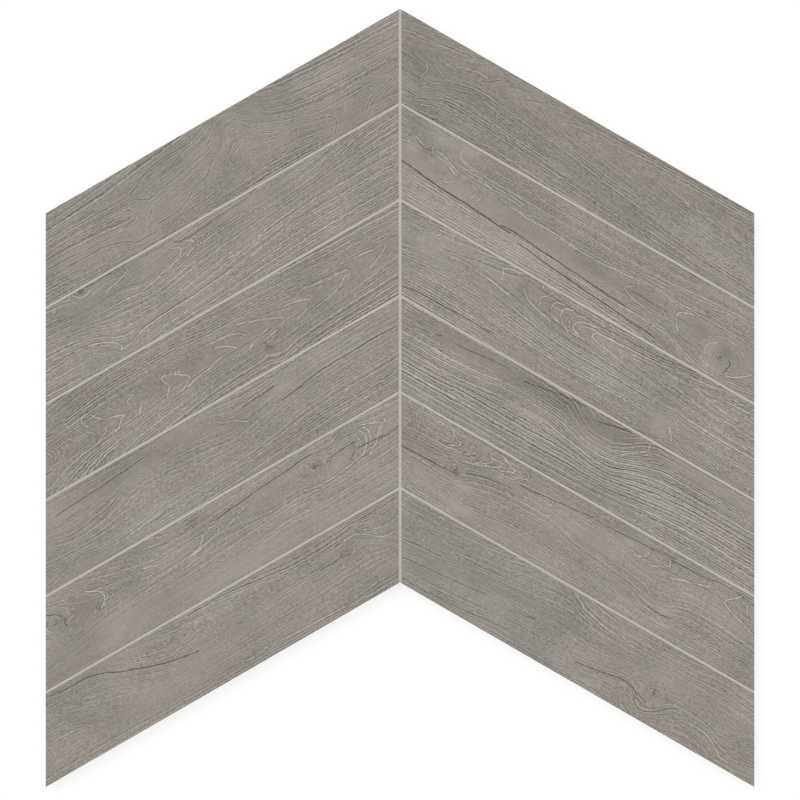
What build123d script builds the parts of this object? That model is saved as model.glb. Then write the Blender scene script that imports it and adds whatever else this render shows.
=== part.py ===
"""Chevron mosaic sheet of wood-look porcelain: two mirrored columns of slanted tiles,
bonded edge to edge by the filling of their joints.

Millimetres. X runs across the sheet, Y up its centre joint towards the point, Z out of its face.
The origin is under the middle of the sheet, on the plane that its back rests on.
"""

import os
from math import cos, radians, sin, tan

from build123d import *

# Tile: a parallelogram with upright ends, pressed and cut square
rows = 6
tile_edge = 217.0
tile_width = 43.0
tile_thickness = 9.0
slope = 30.0
arris = 0.3

# Keyed back of a tile: shallow grooves along its length, between the ribs that it rests on
groove_count = 4
groove_width = 5.0
groove_pitch = 10.0
groove_depth = 0.6

# Joint filling: held back from the faces and from the backs, with a hollow tooled into its top
joint_width = 1.3
joint_recess = 0.3
joint_hollow = 0.12
joint_back_gap = 1.2

# What the sizes above give
angle = radians(slope)
run = tile_edge * cos(angle)
rise = tile_edge * sin(angle)
end_height = tile_width / cos(angle)
row_pitch = (tile_width + joint_width) / cos(angle)
half_width = run + joint_width / 2
half_rise = half_width * tan(angle)
column_height = row_pitch * (rows - 1) + end_height
sheet_height = column_height + half_rise
point_y = sheet_height / 2
joint_z = tile_thickness - joint_recess
sides = {"left": -1, "right": 1}


def tile_corners(side, row):
    """The four corners of a tile, row 0 being the one at the point, inner end first."""
    inner = side * joint_width / 2
    outer = side * half_width
    inner_top = point_y - joint_width / 2 * tan(angle) - row * row_pitch
    outer_top = inner_top - rise
    return [
        (inner, inner_top),
        (outer, outer_top),
        (outer, outer_top - end_height),
        (inner, inner_top - end_height),
    ]


def sheet_corners():
    """The six corners of the whole sheet: its point, its two shoulders, its two feet and its notch."""
    shoulder_y = point_y - half_rise
    return [
        (0, point_y),
        (half_width, shoulder_y),
        (half_width, shoulder_y - column_height),
        (0, point_y - column_height),
        (-half_width, shoulder_y - column_height),
        (-half_width, shoulder_y),
    ]


os.makedirs("parts", exist_ok=True)

# Tiles, numbered from the point of the sheet down each column
for side_name, side in sides.items():
    for row in range(rows):
        corners = tile_corners(side, row)
        middle_x = sum(x for x, y in corners) / len(corners)
        middle_y = sum(y for x, y in corners) / len(corners)

        with BuildPart() as tile:
            with BuildSketch():
                with BuildLine():
                    Polyline(*corners, close=True)
                make_face()
            extrude(amount=tile_thickness)
            chamfer(tile.faces().sort_by(Axis.Z)[-1].edges(), length=arris)

            # The grooves run out through both ends
            with BuildSketch():
                with Locations(Location((middle_x, middle_y), -side * slope)):
                    with GridLocations(0, groove_pitch, 1, groove_count):
                        Rectangle(2 * tile_edge, groove_width)
            extrude(amount=groove_depth, mode=Mode.SUBTRACT)

        tile.part.label = f"tile_{side_name}_{row + 1}"
        export_step(tile.part, f"parts/{tile.part.label}.step")

# Joint filling: what the outline of the sheet leaves between the tiles
with BuildPart() as joint:
    with BuildSketch(Plane.XY.offset(joint_back_gap)):
        with BuildLine():
            Polyline(*sheet_corners(), close=True)
        make_face()
        for side in sides.values():
            for row in range(rows):
                with BuildLine():
                    Polyline(*tile_corners(side, row), close=True)
                make_face(mode=Mode.SUBTRACT)
    extrude(amount=joint_z - joint_back_gap)

    # The hollow is the print of a round bar, as wide as the joint at its rim
    bar_radius = joint_width**2 / 8 / joint_hollow + joint_hollow / 2
    bar_z = joint_z + bar_radius - joint_hollow
    with Locations(Location((0, 0, bar_z), (90, 0, 0))):
        Cylinder(bar_radius, sheet_height, mode=Mode.SUBTRACT)
    from_bar_end = (Align.CENTER, Align.CENTER, Align.MIN)
    for side in sides.values():
        for row in range(1, rows):
            inner_y = point_y - row * row_pitch + joint_width / 2 / cos(angle)
            down_slope = (side * cos(angle), -sin(angle), 0)
            with Locations(Plane((0, inner_y, bar_z), z_dir=down_slope)):
                Cylinder(bar_radius, tile_edge + 2 * joint_width, align=from_bar_end, mode=Mode.SUBTRACT)
joint.part.label = "joint_filling"
export_step(joint.part, "parts/joint_filling.step")
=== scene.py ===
"""Dresses the chevron mosaic sheet: the oak grain printed on its porcelain tiles, the fired body
at their edges and backs, the cement of the joints, and the stage.

Lengths are in metres, as in the frame, except on the planks: there u runs along a plank to the right
and v across it, both in millimetres from its middle, because the print is laid out at that scale.
"""

from math import pi, radians
from typing import NamedTuple

import bpy
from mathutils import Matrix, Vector


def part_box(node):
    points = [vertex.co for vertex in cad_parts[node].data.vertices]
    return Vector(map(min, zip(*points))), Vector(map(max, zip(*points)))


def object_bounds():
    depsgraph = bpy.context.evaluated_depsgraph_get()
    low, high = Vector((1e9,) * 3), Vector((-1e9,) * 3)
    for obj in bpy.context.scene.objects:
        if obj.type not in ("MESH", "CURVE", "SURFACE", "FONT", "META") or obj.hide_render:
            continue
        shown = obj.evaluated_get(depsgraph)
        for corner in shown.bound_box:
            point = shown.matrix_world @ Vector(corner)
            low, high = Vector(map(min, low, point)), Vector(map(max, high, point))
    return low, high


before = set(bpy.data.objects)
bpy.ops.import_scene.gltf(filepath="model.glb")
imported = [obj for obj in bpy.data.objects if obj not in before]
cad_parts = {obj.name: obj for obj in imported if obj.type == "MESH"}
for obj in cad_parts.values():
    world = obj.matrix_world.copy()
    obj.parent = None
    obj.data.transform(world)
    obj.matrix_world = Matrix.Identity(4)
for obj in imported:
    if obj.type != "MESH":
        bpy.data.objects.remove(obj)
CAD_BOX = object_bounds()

bl_info = {
    "name": "Chevron tile sheet",
    "version": (1, 0, 0),
    "blender": (4, 5, 0),
    "location": "3D View > Sidebar > Tile sheet",
    "description": "Finishes a chevron mosaic sheet of wood-look porcelain",
    "category": "Object",
}

SLOPE = radians(30)
SIDES = {"left": 1, "right": -1}
MILLIMETRES = 1000

# Drawn lines: lengths in millimetres
CURVE_REACH = 130.0
FAR = 50.0
LOOK_AHEAD = 0.3
WOBBLE_LENGTH = 9.0
JAG_LENGTH = 1.6
SMOOTH_JAG = 0.25
ROUGH_JAG = 0.8

# The steepest slopes that a stretch and a course can take
STEEPEST_STRETCH = 1.2
STEEPEST_COURSE = 5.0

# Arches: how pointed they are, and how much fainter at the ends of their arms
ARCH_POINT = 1.8
ARCH_FADE = 0.15

# Lines of the grain: where their count starts, in pitches
SEED_STEP = 17.0
BOLD_SHIFT = 57.3
RIDGE_SHIFT = 31.7

# Their pitches and widths in millimetres, and how uneven they are, from 0 to 1
BOLD_PITCH = 2.3
BOLD_HALF_WIDTH = 0.4
BESIDE_OFFSET = 0.5
RIDGE_PITCH = 1.16
ECHO_PITCH = 1.2
BOLD_UNEVEN = 0.55
RIDGE_UNEVEN = 0.5

# Their strengths: the line beside a bold one, and the weakest and the strongest ridge
BESIDE_SHARE = -0.5
RIDGE_STRENGTH = (0.4, 0.9)

# The share of its reach out to which an echo is full
ECHO_FULL = 0.3

# The least that lines of the flow count as apart, in millimetres, and the least steepness of rings
LEAST_GAP = 0.2
LEAST_STEEP = 0.2

# Knots: length by width, how softly they push the grain aside, and how close their rings are
KNOT_LENGTH = 1.35
KNOT_PUSH = 0.3
KNOT_RINGS = 2.0

# Where a knot's rim and halo are empty and full, in shares of its size, and its core, of that core
KNOT_RIM = (1.2, 0.8)
KNOT_HALO = (1.5, 0.5)
KNOT_CORE = (1.3, 0.4)

# Where each mask of the print is empty, and where it is full
RIDGE_EDGE = (0.52, 0.04)
FORK_EDGE = (0.3, 0.7)
ZONE_EDGE = (0.25, 0.6)
DASH_EDGE = (0.15, 0.65)
ECHO_EDGE = (0.3, 0.65)
WARM_EDGE = (0.32, 0.47)
CRACK_EDGE = (0.31, 0.08)
DARK_EDGE = (0.41, 0.08)
LIGHT_EDGE = (0.48, 0.1)
RIM_EDGE = (1.4, 0.7)
HAZE_EDGE = (1.2, 0.85)

# What each part of the print adds to its tone, which runs from 0 in the cracks to 1 in the lime
BASE_TONE = 0.5
CRACK_TONE = -0.58
DARK_TONE = -0.36
LIGHT_TONE = 0.42
RIM_TONE = -0.08
BOLD_TONE = 0.2
RIDGE_TONE = 0.5
ECHO_TONE = -0.085
CORE_TONE = -0.3
HALO_TONE = -0.06

# How broken the cracks and the pale lines are, next to the dark ones
CRACK_BREAKS = 0.65
LIGHT_BREAKS = 1.3

# Strength of the bold lines where no patch changes it, and what a calm place leaves or adds
BOLD_EVERYWHERE = 0.7
CALM_FIBRES = 0.35
CALM_LINES = 0.15
CALM_WARMTH = 0.35
ECHO_CALM = 0.7
COOLEST = -0.5
WARMEST = 1.5

# Depths below the face, in millimetres, where the print is gone and where it is full
PRINT_EDGE = (0.45, 0.3)

# Fired body and cement: grains in a millimetre, shares and strengths, and the sand's height in metres
HAZE_AMOUNT = 0.25
BODY_GRAINS = 1.5
ROUGHER_BY_TONE = -0.4
RELIEF_STRENGTH = 0.35
SAND_GRAINS = 2.2
SAND_DRIFT = 0.06
SAND_SHARE = 0.6
SAND_STRENGTH = 0.4
SAND_HEIGHT = 0.0001
JOINT_ROUGHNESS = (0.8, 0.95)

# Stage
FLOOR_GAP = 0.0002
FLOOR_GREY = (0.3, 0.3, 0.3, 1)
FLOOR_GLOW = 0.75
WHITE = (1, 1, 1, 1)
LAMP_PLACE = (-0.8, 0.8, 1.7)
LAMP_SPREAD = radians(40)


def shade(red, green, blue):
    """A colour given in screen values from 0 to 255, as the linear values that a shader takes."""
    values = (channel / 255 for channel in (red, green, blue))
    return tuple(v / 12.92 if v <= 0.04045 else ((v + 0.055) / 1.055) ** 2.4 for v in values)


# Noises of the print

class Noise(NamedTuple):
    """A noise: its turns in a millimetre along and across the plank, and how far it swings."""

    along: float
    across: float
    swing: float = 1.0
    detail: float = 1.0
    roughness: float = 0.5
    shift: float = 0.0


WANDERS = (Noise(0.015, 0.04, 2.0), Noise(0.07, 0.12, 0.7, 2.0), Noise(0.3, 0.3, 0.8))
ECHO_BREAKS = Noise(0.35, 0.35, detail=2.0)
MARK_BREAKS = Noise(0.3, 0.3, 0.6, 2.0, 0.6)
ZONES = Noise(0.02, 0.12, shift=9.1)
DASHES = Noise(0.34, 0.8, shift=7.9)
STREAKS = Noise(0.015, 0.3, 0.06, shift=3.1)
FIBRES = Noise(0.6, 1.7, 0.5, 1.0, 0.6, 5.7)
CLOUDS = Noise(0.03, 0.04, 0.26)
BLOTCHES = Noise(0.13, 0.2, 0.2, 2.0, 0.6)
WARMTH = Noise(0.03, 0.07, 1.0, 3.0, 0.6)
RELIEF = Noise(0.06, 0.7, 1.0, 3.0, 0.6)
SPECKS_PER_MILLIMETRE = 1.7
SPECK_SWING = 0.34


# The grain of each plank

class Line(NamedTuple):
    """A line of the print through a few points. The fainter it is, the thinner and paler."""

    points: tuple
    faint: float = 0.0


class Arch(NamedTuple):
    """A pointed curve across the grain. Its arms run back from the apex by reach, to half each way."""

    apex: tuple
    reach: float
    half: float
    faint: float = 0.0


class Knot(NamedTuple):
    """A knot with rings out to its size, a dark core, and grain that flows around it."""

    at: tuple
    size: float
    core: float


class Patch(NamedTuple):
    """A soft oval place with more or less of something."""

    at: tuple
    spread: tuple
    amount: float


class Plank(NamedTuple):
    """The grain of one plank.

    flow: lines that the grain runs along, from the lowest up
    heart: axis, depth and taper of the rings that the plank cuts, once the flow is pulled straight
    echo: how far off the drawn dark lines finer ones still follow them
    fine: strength of the fine ridges
    lines: how dark and how light the bold lines get
    tone, ink: how pale the plank is as a whole, and how dark its drawn dark lines are
    knots, cracks, dark, light: what is drawn on it
    calm, bold: places with less grain, and places with bolder lines
    shades, tints: places that are paler or darker, and places that are warmer or cooler
    """

    seed: float
    flow: tuple
    heart: tuple = ()
    echo: float = 0.0
    fine: float = 1.0
    lines: tuple = (0.6, 0.5)
    tone: float = 0.0
    ink: float = 1.0
    knots: tuple = ()
    cracks: tuple = ()
    dark: tuple = ()
    light: tuple = ()
    calm: tuple = ()
    bold: tuple = ()
    shades: tuple = ()
    tints: tuple = ()


PLANKS = {}

# A tall flame in the middle, with long loops of dark lines beside it
PLANKS["tile_left_1"] = Plank(
    seed=1.0,
    flow=(
        ((-125, -21), (125, -21)),
        (
            (-125, -13), (-105, -14), (-80, -17.5), (-60, -19.5), (0, -16.5), (20, -14.5), (70, -18),
            (125, -19),
        ),
        (
            (-125, -8), (-85, -9.2), (-70, -11.5), (-60, -16), (-10, -14), (8, -12), (20, -10),
            (35, -10), (55, -13), (70, -16), (125, -14),
        ),
        (
            (-125, -4), (-80, -6.2), (-52, -9.5), (-45, -5.5), (-20, -1), (0, 4.5), (11, 16), (20, 6.5),
            (40, -3), (60, -8.5), (95, -9), (125, -9),
        ),
        (
            (-125, 15), (-98, 16), (-55, 19.5), (0, 27), (11, 30), (25, 24), (35, 16.5), (60, 12.3),
            (125, 9.5),
        ),
    ),
    echo=5.0,
    ink=0.85,
    fine=1.45,
    lines=(1.3, 0.1),
    tone=-0.02,
    dark=(
        Line((
            (-10, 20), (-9.5, 18), (-11, 16), (-16, 15.5), (-26, 15.5), (-36, 14.3), (-43, 12),
            (-49, 9), (-52.5, 6.5), (-51, 4), (-45, 0.5),
        )),
        Line(((-45, 0.6), (-35, 1.8), (-25, 4), (-8, 7.5), (-3, 10), (0, 13)), 0.05),
        Line(((0, 13), (-1, 17), (-3, 20)), 0.2),
        Line(((-43, 7), (-38, 7.5), (-35, 10), (-30, 11.5), (-22, 12.5), (-15, 10.7), (-10, 11)), 0.1),
        Line(((-46, 8.2), (-49, 6.5), (-47.5, 4), (-42, 1.6)), 0.15),
        Line((
            (-52, -9.5), (-49, -8), (-46, -4.8), (-35, -2.5), (-28, -1), (-12, 4), (-5, 5.5), (2, 9.5),
        ), 0.05),
        Line(((-49, -13.5), (-35, -12.7), (-27, -10), (-22, -7), (-12, -4), (-8, -0.5), (-5, 1.7))),
        Line(((-62, 2), (-58, 1), (-55.5, -2), (-56, -4.5), (-63, -6.2))),
        Line(((-72, 9.8), (-60, 9), (-53, 7.5)), 0.2),
        Line(((-111, -5), (-95, -5.5), (-85, -6.5), (-73, -7))),
        Line((
            (-107, -9.2), (-80, -9.3), (-73, -11), (-67, -12.7), (-62, -15.7), (-58, -16.5),
            (-45, -16.3),
        )),
        Line(((-62, -8.7), (-57, -11), (-54, -12.5)), 0.1),
        Line(((12, 2), (8, 0), (4, -2), (3.5, -4), (4.5, -6.5), (3, -7.8))),
        Line(((9, 11), (8.5, 7.5), (5, 5), (2, 3.5)), 0.15),
        Line(((10, 20), (14, 14.5), (18, 9.5), (22, 5)), 0.1),
        Line(((14, 18), (20, 8), (28, 4), (33, 1.5)), 0.1),
        Line(((23, 2.5), (32, -2.5), (40, -4.5), (52, -7)), 0.1),
        Line(((52, -7), (58, -8.5), (61.5, -10.5), (62.5, -13), (60, -17), (57, -20)), 0.05),
        Line(((33, 1.5), (45, -2), (58, -4), (68, -6)), 0.1),
        Line(((68, -6), (71, -8), (68, -12)), 0.25),
        Line(((79, -16.5), (83, -13), (90, -11), (99, -8.5)), 0.05),
        Line(((79, -19.5), (82, -16), (90, -14), (98, -12)), 0.05),
        Line(((95, -5), (98.5, -7), (98.5, -9)), 0.1),
        Line(((38, 13.5), (55, 10.8), (80, 8), (107, 6))),
        Line(((0, -14), (8, -12.5), (18, -10), (26, -10), (40, -12.5)), 0.1),
    ),
    calm=(
        Patch((-48, -4), (9, 9), 1.0),
        Patch((-32, -7), (16, 4), 0.9),
        Patch((-25, 9), (22, 5), 0.5),
        Patch((28, 14), (9, 9), 1.0),
        Patch((12, -3), (18, 6), 0.9),
        Patch((66, -15), (16, 5), 0.8),
    ),
    bold=(
        Patch((-85, 15), (40, 8), 0.9),
        Patch((75, 12), (45, 12), 0.6),
        Patch((-10, -20), (70, 4), 0.8),
    ),
    shades=(
        Patch((3, -4.5), (4, 3), -0.08),
        Patch((40, 13), (6, 8), 0.05),
        Patch((-70, -4), (14, 14), -0.03),
        Patch((60, -17), (40, 6), -0.04),
        Patch((75, 4), (30, 12), 0.03),
    ),
    tints=(Patch((-40, 17), (80, 6), -0.6),),
)

# Cracks and a small knot along the upper edge, and grain that dips at the left
PLANKS["tile_left_2"] = Plank(
    seed=2.0,
    flow=(
        ((-125, -22), (-90, -24), (-70, -26), (-50, -23.5), (0, -21), (60, -19), (125, -18.5)),
        (
            (-125, -9), (-105, -7.5), (-88, -7.2), (-80, -9), (-75, -12), (-71, -16.3), (-66, -17),
            (-58, -14.5), (-48, -13), (-20, -12), (0, -10), (20, -7.5), (40, -5.5), (60, -5), (125, -6),
        ),
        (
            (-125, 1), (-90, -1), (-80, -3.5), (-70, -8), (-62, -9.5), (-40, -9), (-20, -6.5),
            (0, -3.5), (20, -1), (45, 1.5), (70, 2.5), (125, 2),
        ),
        (
            (-125, 10), (-80, 8), (-60, 7.5), (-40, 4.5), (-20, 7), (30, 10), (60, 12), (80, 15),
            (125, 20),
        ),
    ),
    fine=1.25,
    lines=(0.3, 1.0),
    tone=0.015,
    knots=(Knot((-75, 20.5), 5.0, 1.6),),
    cracks=(
        Line(((-72, 21), (-68, 20.7), (-55, 21.3), (-47, 21.5))),
        Line(((-40, 20), (-30, 19.7), (-20, 20.2)), 0.1),
        Line(((-19, 18.5), (-15, 17), (-10, 17), (-4, 17.3), (3, 17.8))),
        Line(((0, 17.6), (15, 18.7), (25, 19.5), (33, 21)), 0.1),
        Line(((5, 17), (15, 17.8), (25, 18.6)), 0.2),
        Line(((103, 10.3), (114, 10.2)), 0.05),
        Line(((90, 7.5), (100, 7.3), (112, 7)), 0.1),
    ),
    light=(
        Line(((-48.5, 20.5), (-48, 18.5), (-51, 16.5), (-56, 15), (-63, 13.5)), 0.05),
        Line(((-54, 10.8), (-50, 11.2), (-46, 12.5), (-41, 15.5)), 0.15),
        Line(((-21, 15.5), (-18, 13.8), (-18.5, 12.3), (-22, 9.5), (-25, 8.5))),
        Line(((-45, 4.5), (-33, 6.5), (-25, 8.5)), 0.1),
        Line(((-14, 16), (-10, 14), (-10, 12.5), (-13, 10), (-17, 8.5)), 0.05),
        Line(((-8, 15.5), (-4, 14), (-4, 11.5), (-6, 9)), 0.1),
        Line(((-93, 19.5), (-93, 17.5), (-91.5, 20)), 0.1),
        Line(((-97, 14.5), (-92, 13), (-85, 10.5)), 0.15),
        Line(((-80, 20.5), (-78, 18.5), (-74, 17.3), (-70, 18.5))),
        Line(((-85, -7), (-78, -9.5), (-73, -12.5), (-71, -15.5), (-71.5, -17))),
        Line((
            (-71.5, -17), (-67, -17.3), (-62, -15.5), (-55, -13.5), (-45, -12.7), (-25, -12), (0, -9.7),
        ), 0.05),
        Line(((-107, -4), (-98, -5), (-88, -6.5)), 0.1),
        Line(((-108, 0), (-95, -1), (-85, -3), (-78, -4.5)), 0.1),
        Line(((-88, -11), (-83, -13), (-80, -16), (-82, -19)), 0.15),
        Line(((-80, -10), (-76, -13), (-75, -15)), 0.15),
        Line(((-52, -20), (-45, -18), (-38, -17.5), (0, -15.5)), 0.1),
        Line(((-44, -21.5), (-35, -20), (0, -19)), 0.15),
        Line(((0, -4), (15, -2.5), (30, 0), (45, 1.5)), 0.05),
        Line(((0, -6.5), (20, -4.5), (35, -3)), 0.1),
        Line(((0, -9.7), (20, -7.5), (35, -5)), 0.05),
        Line(((0, -14.5), (20, -13.5), (35, -11)), 0.1),
        Line(((78, 15.5), (88, 17), (97, 18.5)), 0.05),
        Line(((9, 13.5), (17, 13.5), (22, 12.5)), 0.1),
        Line(((38, 18), (41, 20)), 0.1),
    ),
    calm=(
        Patch((-75, 14), (22, 9), 0.8),
        Patch((-35, 15), (20, 7), 0.8),
        Patch((25, 16), (25, 3.5), 0.9),
        Patch((-80, -17), (12, 5), 0.5),
    ),
    bold=(Patch((30, -10), (90, 14), 0.7),),
    shades=(
        Patch((-75, 15), (25, 7), -0.04),
        Patch((35, 17), (20, 4), 0.03),
        Patch((20, 14), (110, 7), -0.03),
    ),
    tints=(Patch((-70, 15), (35, 8), -0.5), Patch((30, 17), (25, 5), 0.4)),
)

# A row of pale arcs along the heart, and a small knot under it
PLANKS["tile_left_3"] = Plank(
    seed=3.0,
    flow=(
        (
            (-125, -45), (-70, -23), (-40, -17.5), (0, -13.5), (18, -14), (25, -16), (40, -13.5),
            (125, -11),
        ),
        (
            (-125, -30), (-105, -21), (-85, -15.5), (-60, -12.5), (-30, -9.5), (0, -8), (60, -7.5),
            (125, -2),
        ),
        ((-125, -6), (-60, -3), (0, -1), (60, 0), (125, 2)),
        ((-125, 6), (-95, 11), (-75, 14.5), (-50, 16.5), (-20, 16.5), (0, 15.5), (40, 15), (125, 14)),
    ),
    heart=(-0.5, 7, 0.05),
    fine=1.8,
    lines=(0.5, 0.7),
    tone=-0.01,
    knots=(Knot((22.5, -11.5), 2.6, 0.5),),
    cracks=(
        Line(((19.5, -11.5), (22, -10.3), (24.5, -12.5), (26, -11.5)), 0.1),
        Line(((-104, 6.5), (-101, 6.8))),
        Line(((-50, -2), (-46, -1.2)), 0.15),
        Line(((-52, -7), (-46, -6)), 0.15),
    ),
    light=(
        Line(((-92, 8), (-92, 5), (-91.5, 2.5)), 0.15),
        Line(((-86, 8.5), (-88, 6.5), (-88.8, 4), (-88, 1.5), (-86.5, -1.5), (-84.5, -4.5)), 0.1),
        Line(((-80.5, 7), (-83, 5.5), (-84, 4), (-83.5, 2), (-82, 0))),
        Line(((-84, -2), (-82, -3.5), (-81, -6)), 0.1),
        Line(((-78, 5), (-76.5, 3), (-74.5, 1), (-72, -1), (-68, -2), (-62, -4))),
        Line(((-82, -10), (-77, -7.5), (-74.5, -5.5), (-75.5, -3.5)), 0.05),
        Line(((-73, -9.8), (-68, -8), (-65, -5.5), (-62, -4))),
        Line(((-70, 5.5), (-65, 6.5)), 0.15),
        Line(((-67.5, 3.5), (-65.5, 1)), 0.05),
        Line(((-53.5, 3.2), (-57, 2), (-58, 0.5), (-57, -0.8))),
        Line(((-50, -2), (-52, -4), (-54, -6.5), (-55.5, -8))),
        Line(((-33, 4), (-35.5, 2.5), (-35, 0), (-34, -2.5), (-36, -5), (-38, -7.5))),
        Line(((-27, 3), (-28, 1.5), (-26, 0), (-23, -2), (-22, -4), (-25, -6), (-29, -8))),
        Line(((-26, -8), (-20, -6.5), (-13, -5.2), (-7, -4.3), (-2, -3))),
        Line(((-3, 3), (1, 1.8), (4, 0), (7, -2.7))),
        Line(((-4, 6), (4, 5.5), (10, 4), (13, 2.5), (15, 0.5))),
        Line(((12, 8.5), (20, 6), (25, 4), (29, 2.5), (33, 0.5), (37, -1.2))),
        Line(((37, -1.2), (36, -3), (31, -5), (22, -7)), 0.1),
        Line(((2, -7), (13, -6.5), (17, -5), (22, -3.3), (28, -2)), 0.05),
        Line(((40, 4), (46, 3), (50, 2), (53.5, 0), (53, -2), (49, -4), (43, -5.5))),
        Line(((57, 6), (65, 5))),
        Line(((68, 4.2), (76, 4), (80, 2.5), (76, 1), (72, -1.5), (65, -3.7), (55, -5))),
        Line(((90, -1.8), (97, 1.2), (101, 3), (103, 5))),
        Line(((46, 8), (53, 7)), 0.1),
        Line(((64, 8.8), (71, 9)), 0.05),
        Line(((77, 8.3), (82, 8.2)), 0.05),
        Line(((85, 7.5), (92, 7), (96, 6)), 0.05),
        Line(((97, 9.8), (108, 9.8)), 0.15),
        Line(((45, 10), (51, 9.3)), 0.15),
        Arch((-107, -3.5), 2.5, 4, 0.1),
        Arch((-104.5, -3.5), 2.5, 4, 0.1),
        Arch((-102, -3.5), 2.5, 4.2, 0.1),
        Arch((-99.5, -3.5), 2.5, 4.5, 0.1),
        Arch((-96.5, -3.5), 3, 5, 0.1),
        Arch((-92.5, -3.5), 4, 5, 0.15),
    ),
    calm=(
        Patch((-55, -1), (30, 5.5), 0.9),
        Patch((0, 0), (30, 6), 0.8),
        Patch((60, 0), (40, 4.5), 0.95),
        Patch((-98, 5), (7, 4), 0.7),
    ),
    bold=(Patch((-10, 18), (110, 6), 0.4), Patch((60, -10), (70, 4), 0.7)),
    shades=(
        Patch((23, -11), (4, 4), -0.07),
        Patch((-102, 4), (5, 4), -0.05),
        Patch((0, -1), (120, 7), -0.03),
    ),
)

# Long cracks in the upper half, over grain that rises to the right
PLANKS["tile_left_4"] = Plank(
    seed=4.0,
    flow=(
        ((-125, -20), (-70, -21), (0, -19.5), (30, -17), (60, -15.5), (125, -15)),
        (
            (-125, -14), (-95, -14.5), (-72, -17.3), (-55, -15.3), (-35, -13.5), (0, -13.8), (25, -12),
            (45, -9.5), (65, -8.3), (125, -7.5),
        ),
        (
            (-125, -8), (-75, -9.5), (-55, -8.5), (-42, -6), (-30, -6.2), (0, -5.8), (20, -4.2),
            (40, -0.3), (60, 2.2), (80, 3.5), (125, 3),
        ),
        (
            (-125, 2), (-105, 0), (-90, -3), (-75, -1.5), (-65, 0.8), (-55, 4.3), (-40, 5), (-25, 4),
            (-5, 2.5), (8, 0.5), (18, 2.5), (45, 6), (62, 8.5), (95, 9.4), (125, 8.8),
        ),
        (
            (-125, 10), (-95, 12), (-50, 14.8), (-35, 16), (0, 17), (10, 13.5), (20, 12.5), (35, 13.7),
            (45, 15.2), (80, 17), (125, 17.5),
        ),
        ((-125, 19), (0, 21), (30, 19.5), (55, 20), (70, 21), (125, 20)),
    ),
    fine=1.1,
    lines=(0.7, 0.8),
    cracks=(
        Line((
            (-95, 11.8), (-88, 12.7), (-75, 13.3), (-62, 13.9), (-50, 14.7), (-40, 15.5), (-33, 16.2),
        ), 0.05),
        Line(((-93, 7.5), (-87, 8), (-81, 8.8)), 0.1),
        Line(((-79, 9), (-72, 10), (-67, 10.7)), 0.25),
        Line(((20, 12.8), (27, 13.3), (35, 13.7), (40, 14.2))),
        Line(((40, 5.4), (50, 6.5), (62, 8.4), (72, 8.9), (82, 9.1), (95, 9.5), (112, 8.9))),
        Line(((-54, -16.5), (-47, -16), (-38, -15.3)), 0.05),
        Line(((45, 19.8), (58, 20), (67, 21), (75, 21.3)), 0.15),
        Line(((-33, 13), (-31, 12.5)), 0.2),
    ),
    dark=(Line(((-26, 11.9), (-22, 12.3)), 0.1), Line(((95, 15), (102, 15.2)), 0.05)),
    light=(
        Line(((3, 14), (6, 11), (9, 9.5), (13, 8.5), (16, 6), (19, 4)), 0.1),
        Line(((5, 14.5), (8, 12), (15, 10.8), (20, 11)), 0.2),
        Line(((-80, 0), (-70, 1), (-62, 3.5), (-55, 5)), 0.25),
        Line(((-85, -7), (-75, -6), (-65, -4.8), (-57, -4)), 0.15),
        Line(((-72, -17.5), (-60, -15.8), (-45, -14), (-30, -13.3)), 0.1),
        Line(((0, -14), (10, -14), (25, -12)), 0.1),
        Line(((22, 9), (28, 12), (35, 12.6)), 0.25),
        Line(((-117, -20), (-110, -17.5), (-107, -16.5)), 0.15),
    ),
    calm=(
        Patch((-75, 12), (50, 7), 0.95),
        Patch((-15, 13), (25, 5), 0.7),
        Patch((42, 11.5), (20, 2.5), 0.9),
        Patch((10, 6), (6, 4), 0.9),
        Patch((-95, -19), (30, 3), 0.9),
        Patch((-105, 2), (12, 6), 0.6),
    ),
    bold=(Patch((50, -4), (70, 12), 0.8),),
    shades=(
        Patch((10, 6), (6, 4), -0.05),
        Patch((42, 11.5), (18, 3), 0.05),
        Patch((91, 14.5), (3, 2), 0.12),
        Patch((-45, 15), (55, 7), -0.045),
        Patch((65, 15), (40, 8), 0.035),
        Patch((-40, -15), (50, 6), 0.035),
        Patch((45, -15), (25, 6), -0.03),
    ),
    tints=(Patch((-60, 12), (50, 8), 0.2), Patch((-70, -17), (50, 5), -0.5)),
)

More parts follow.
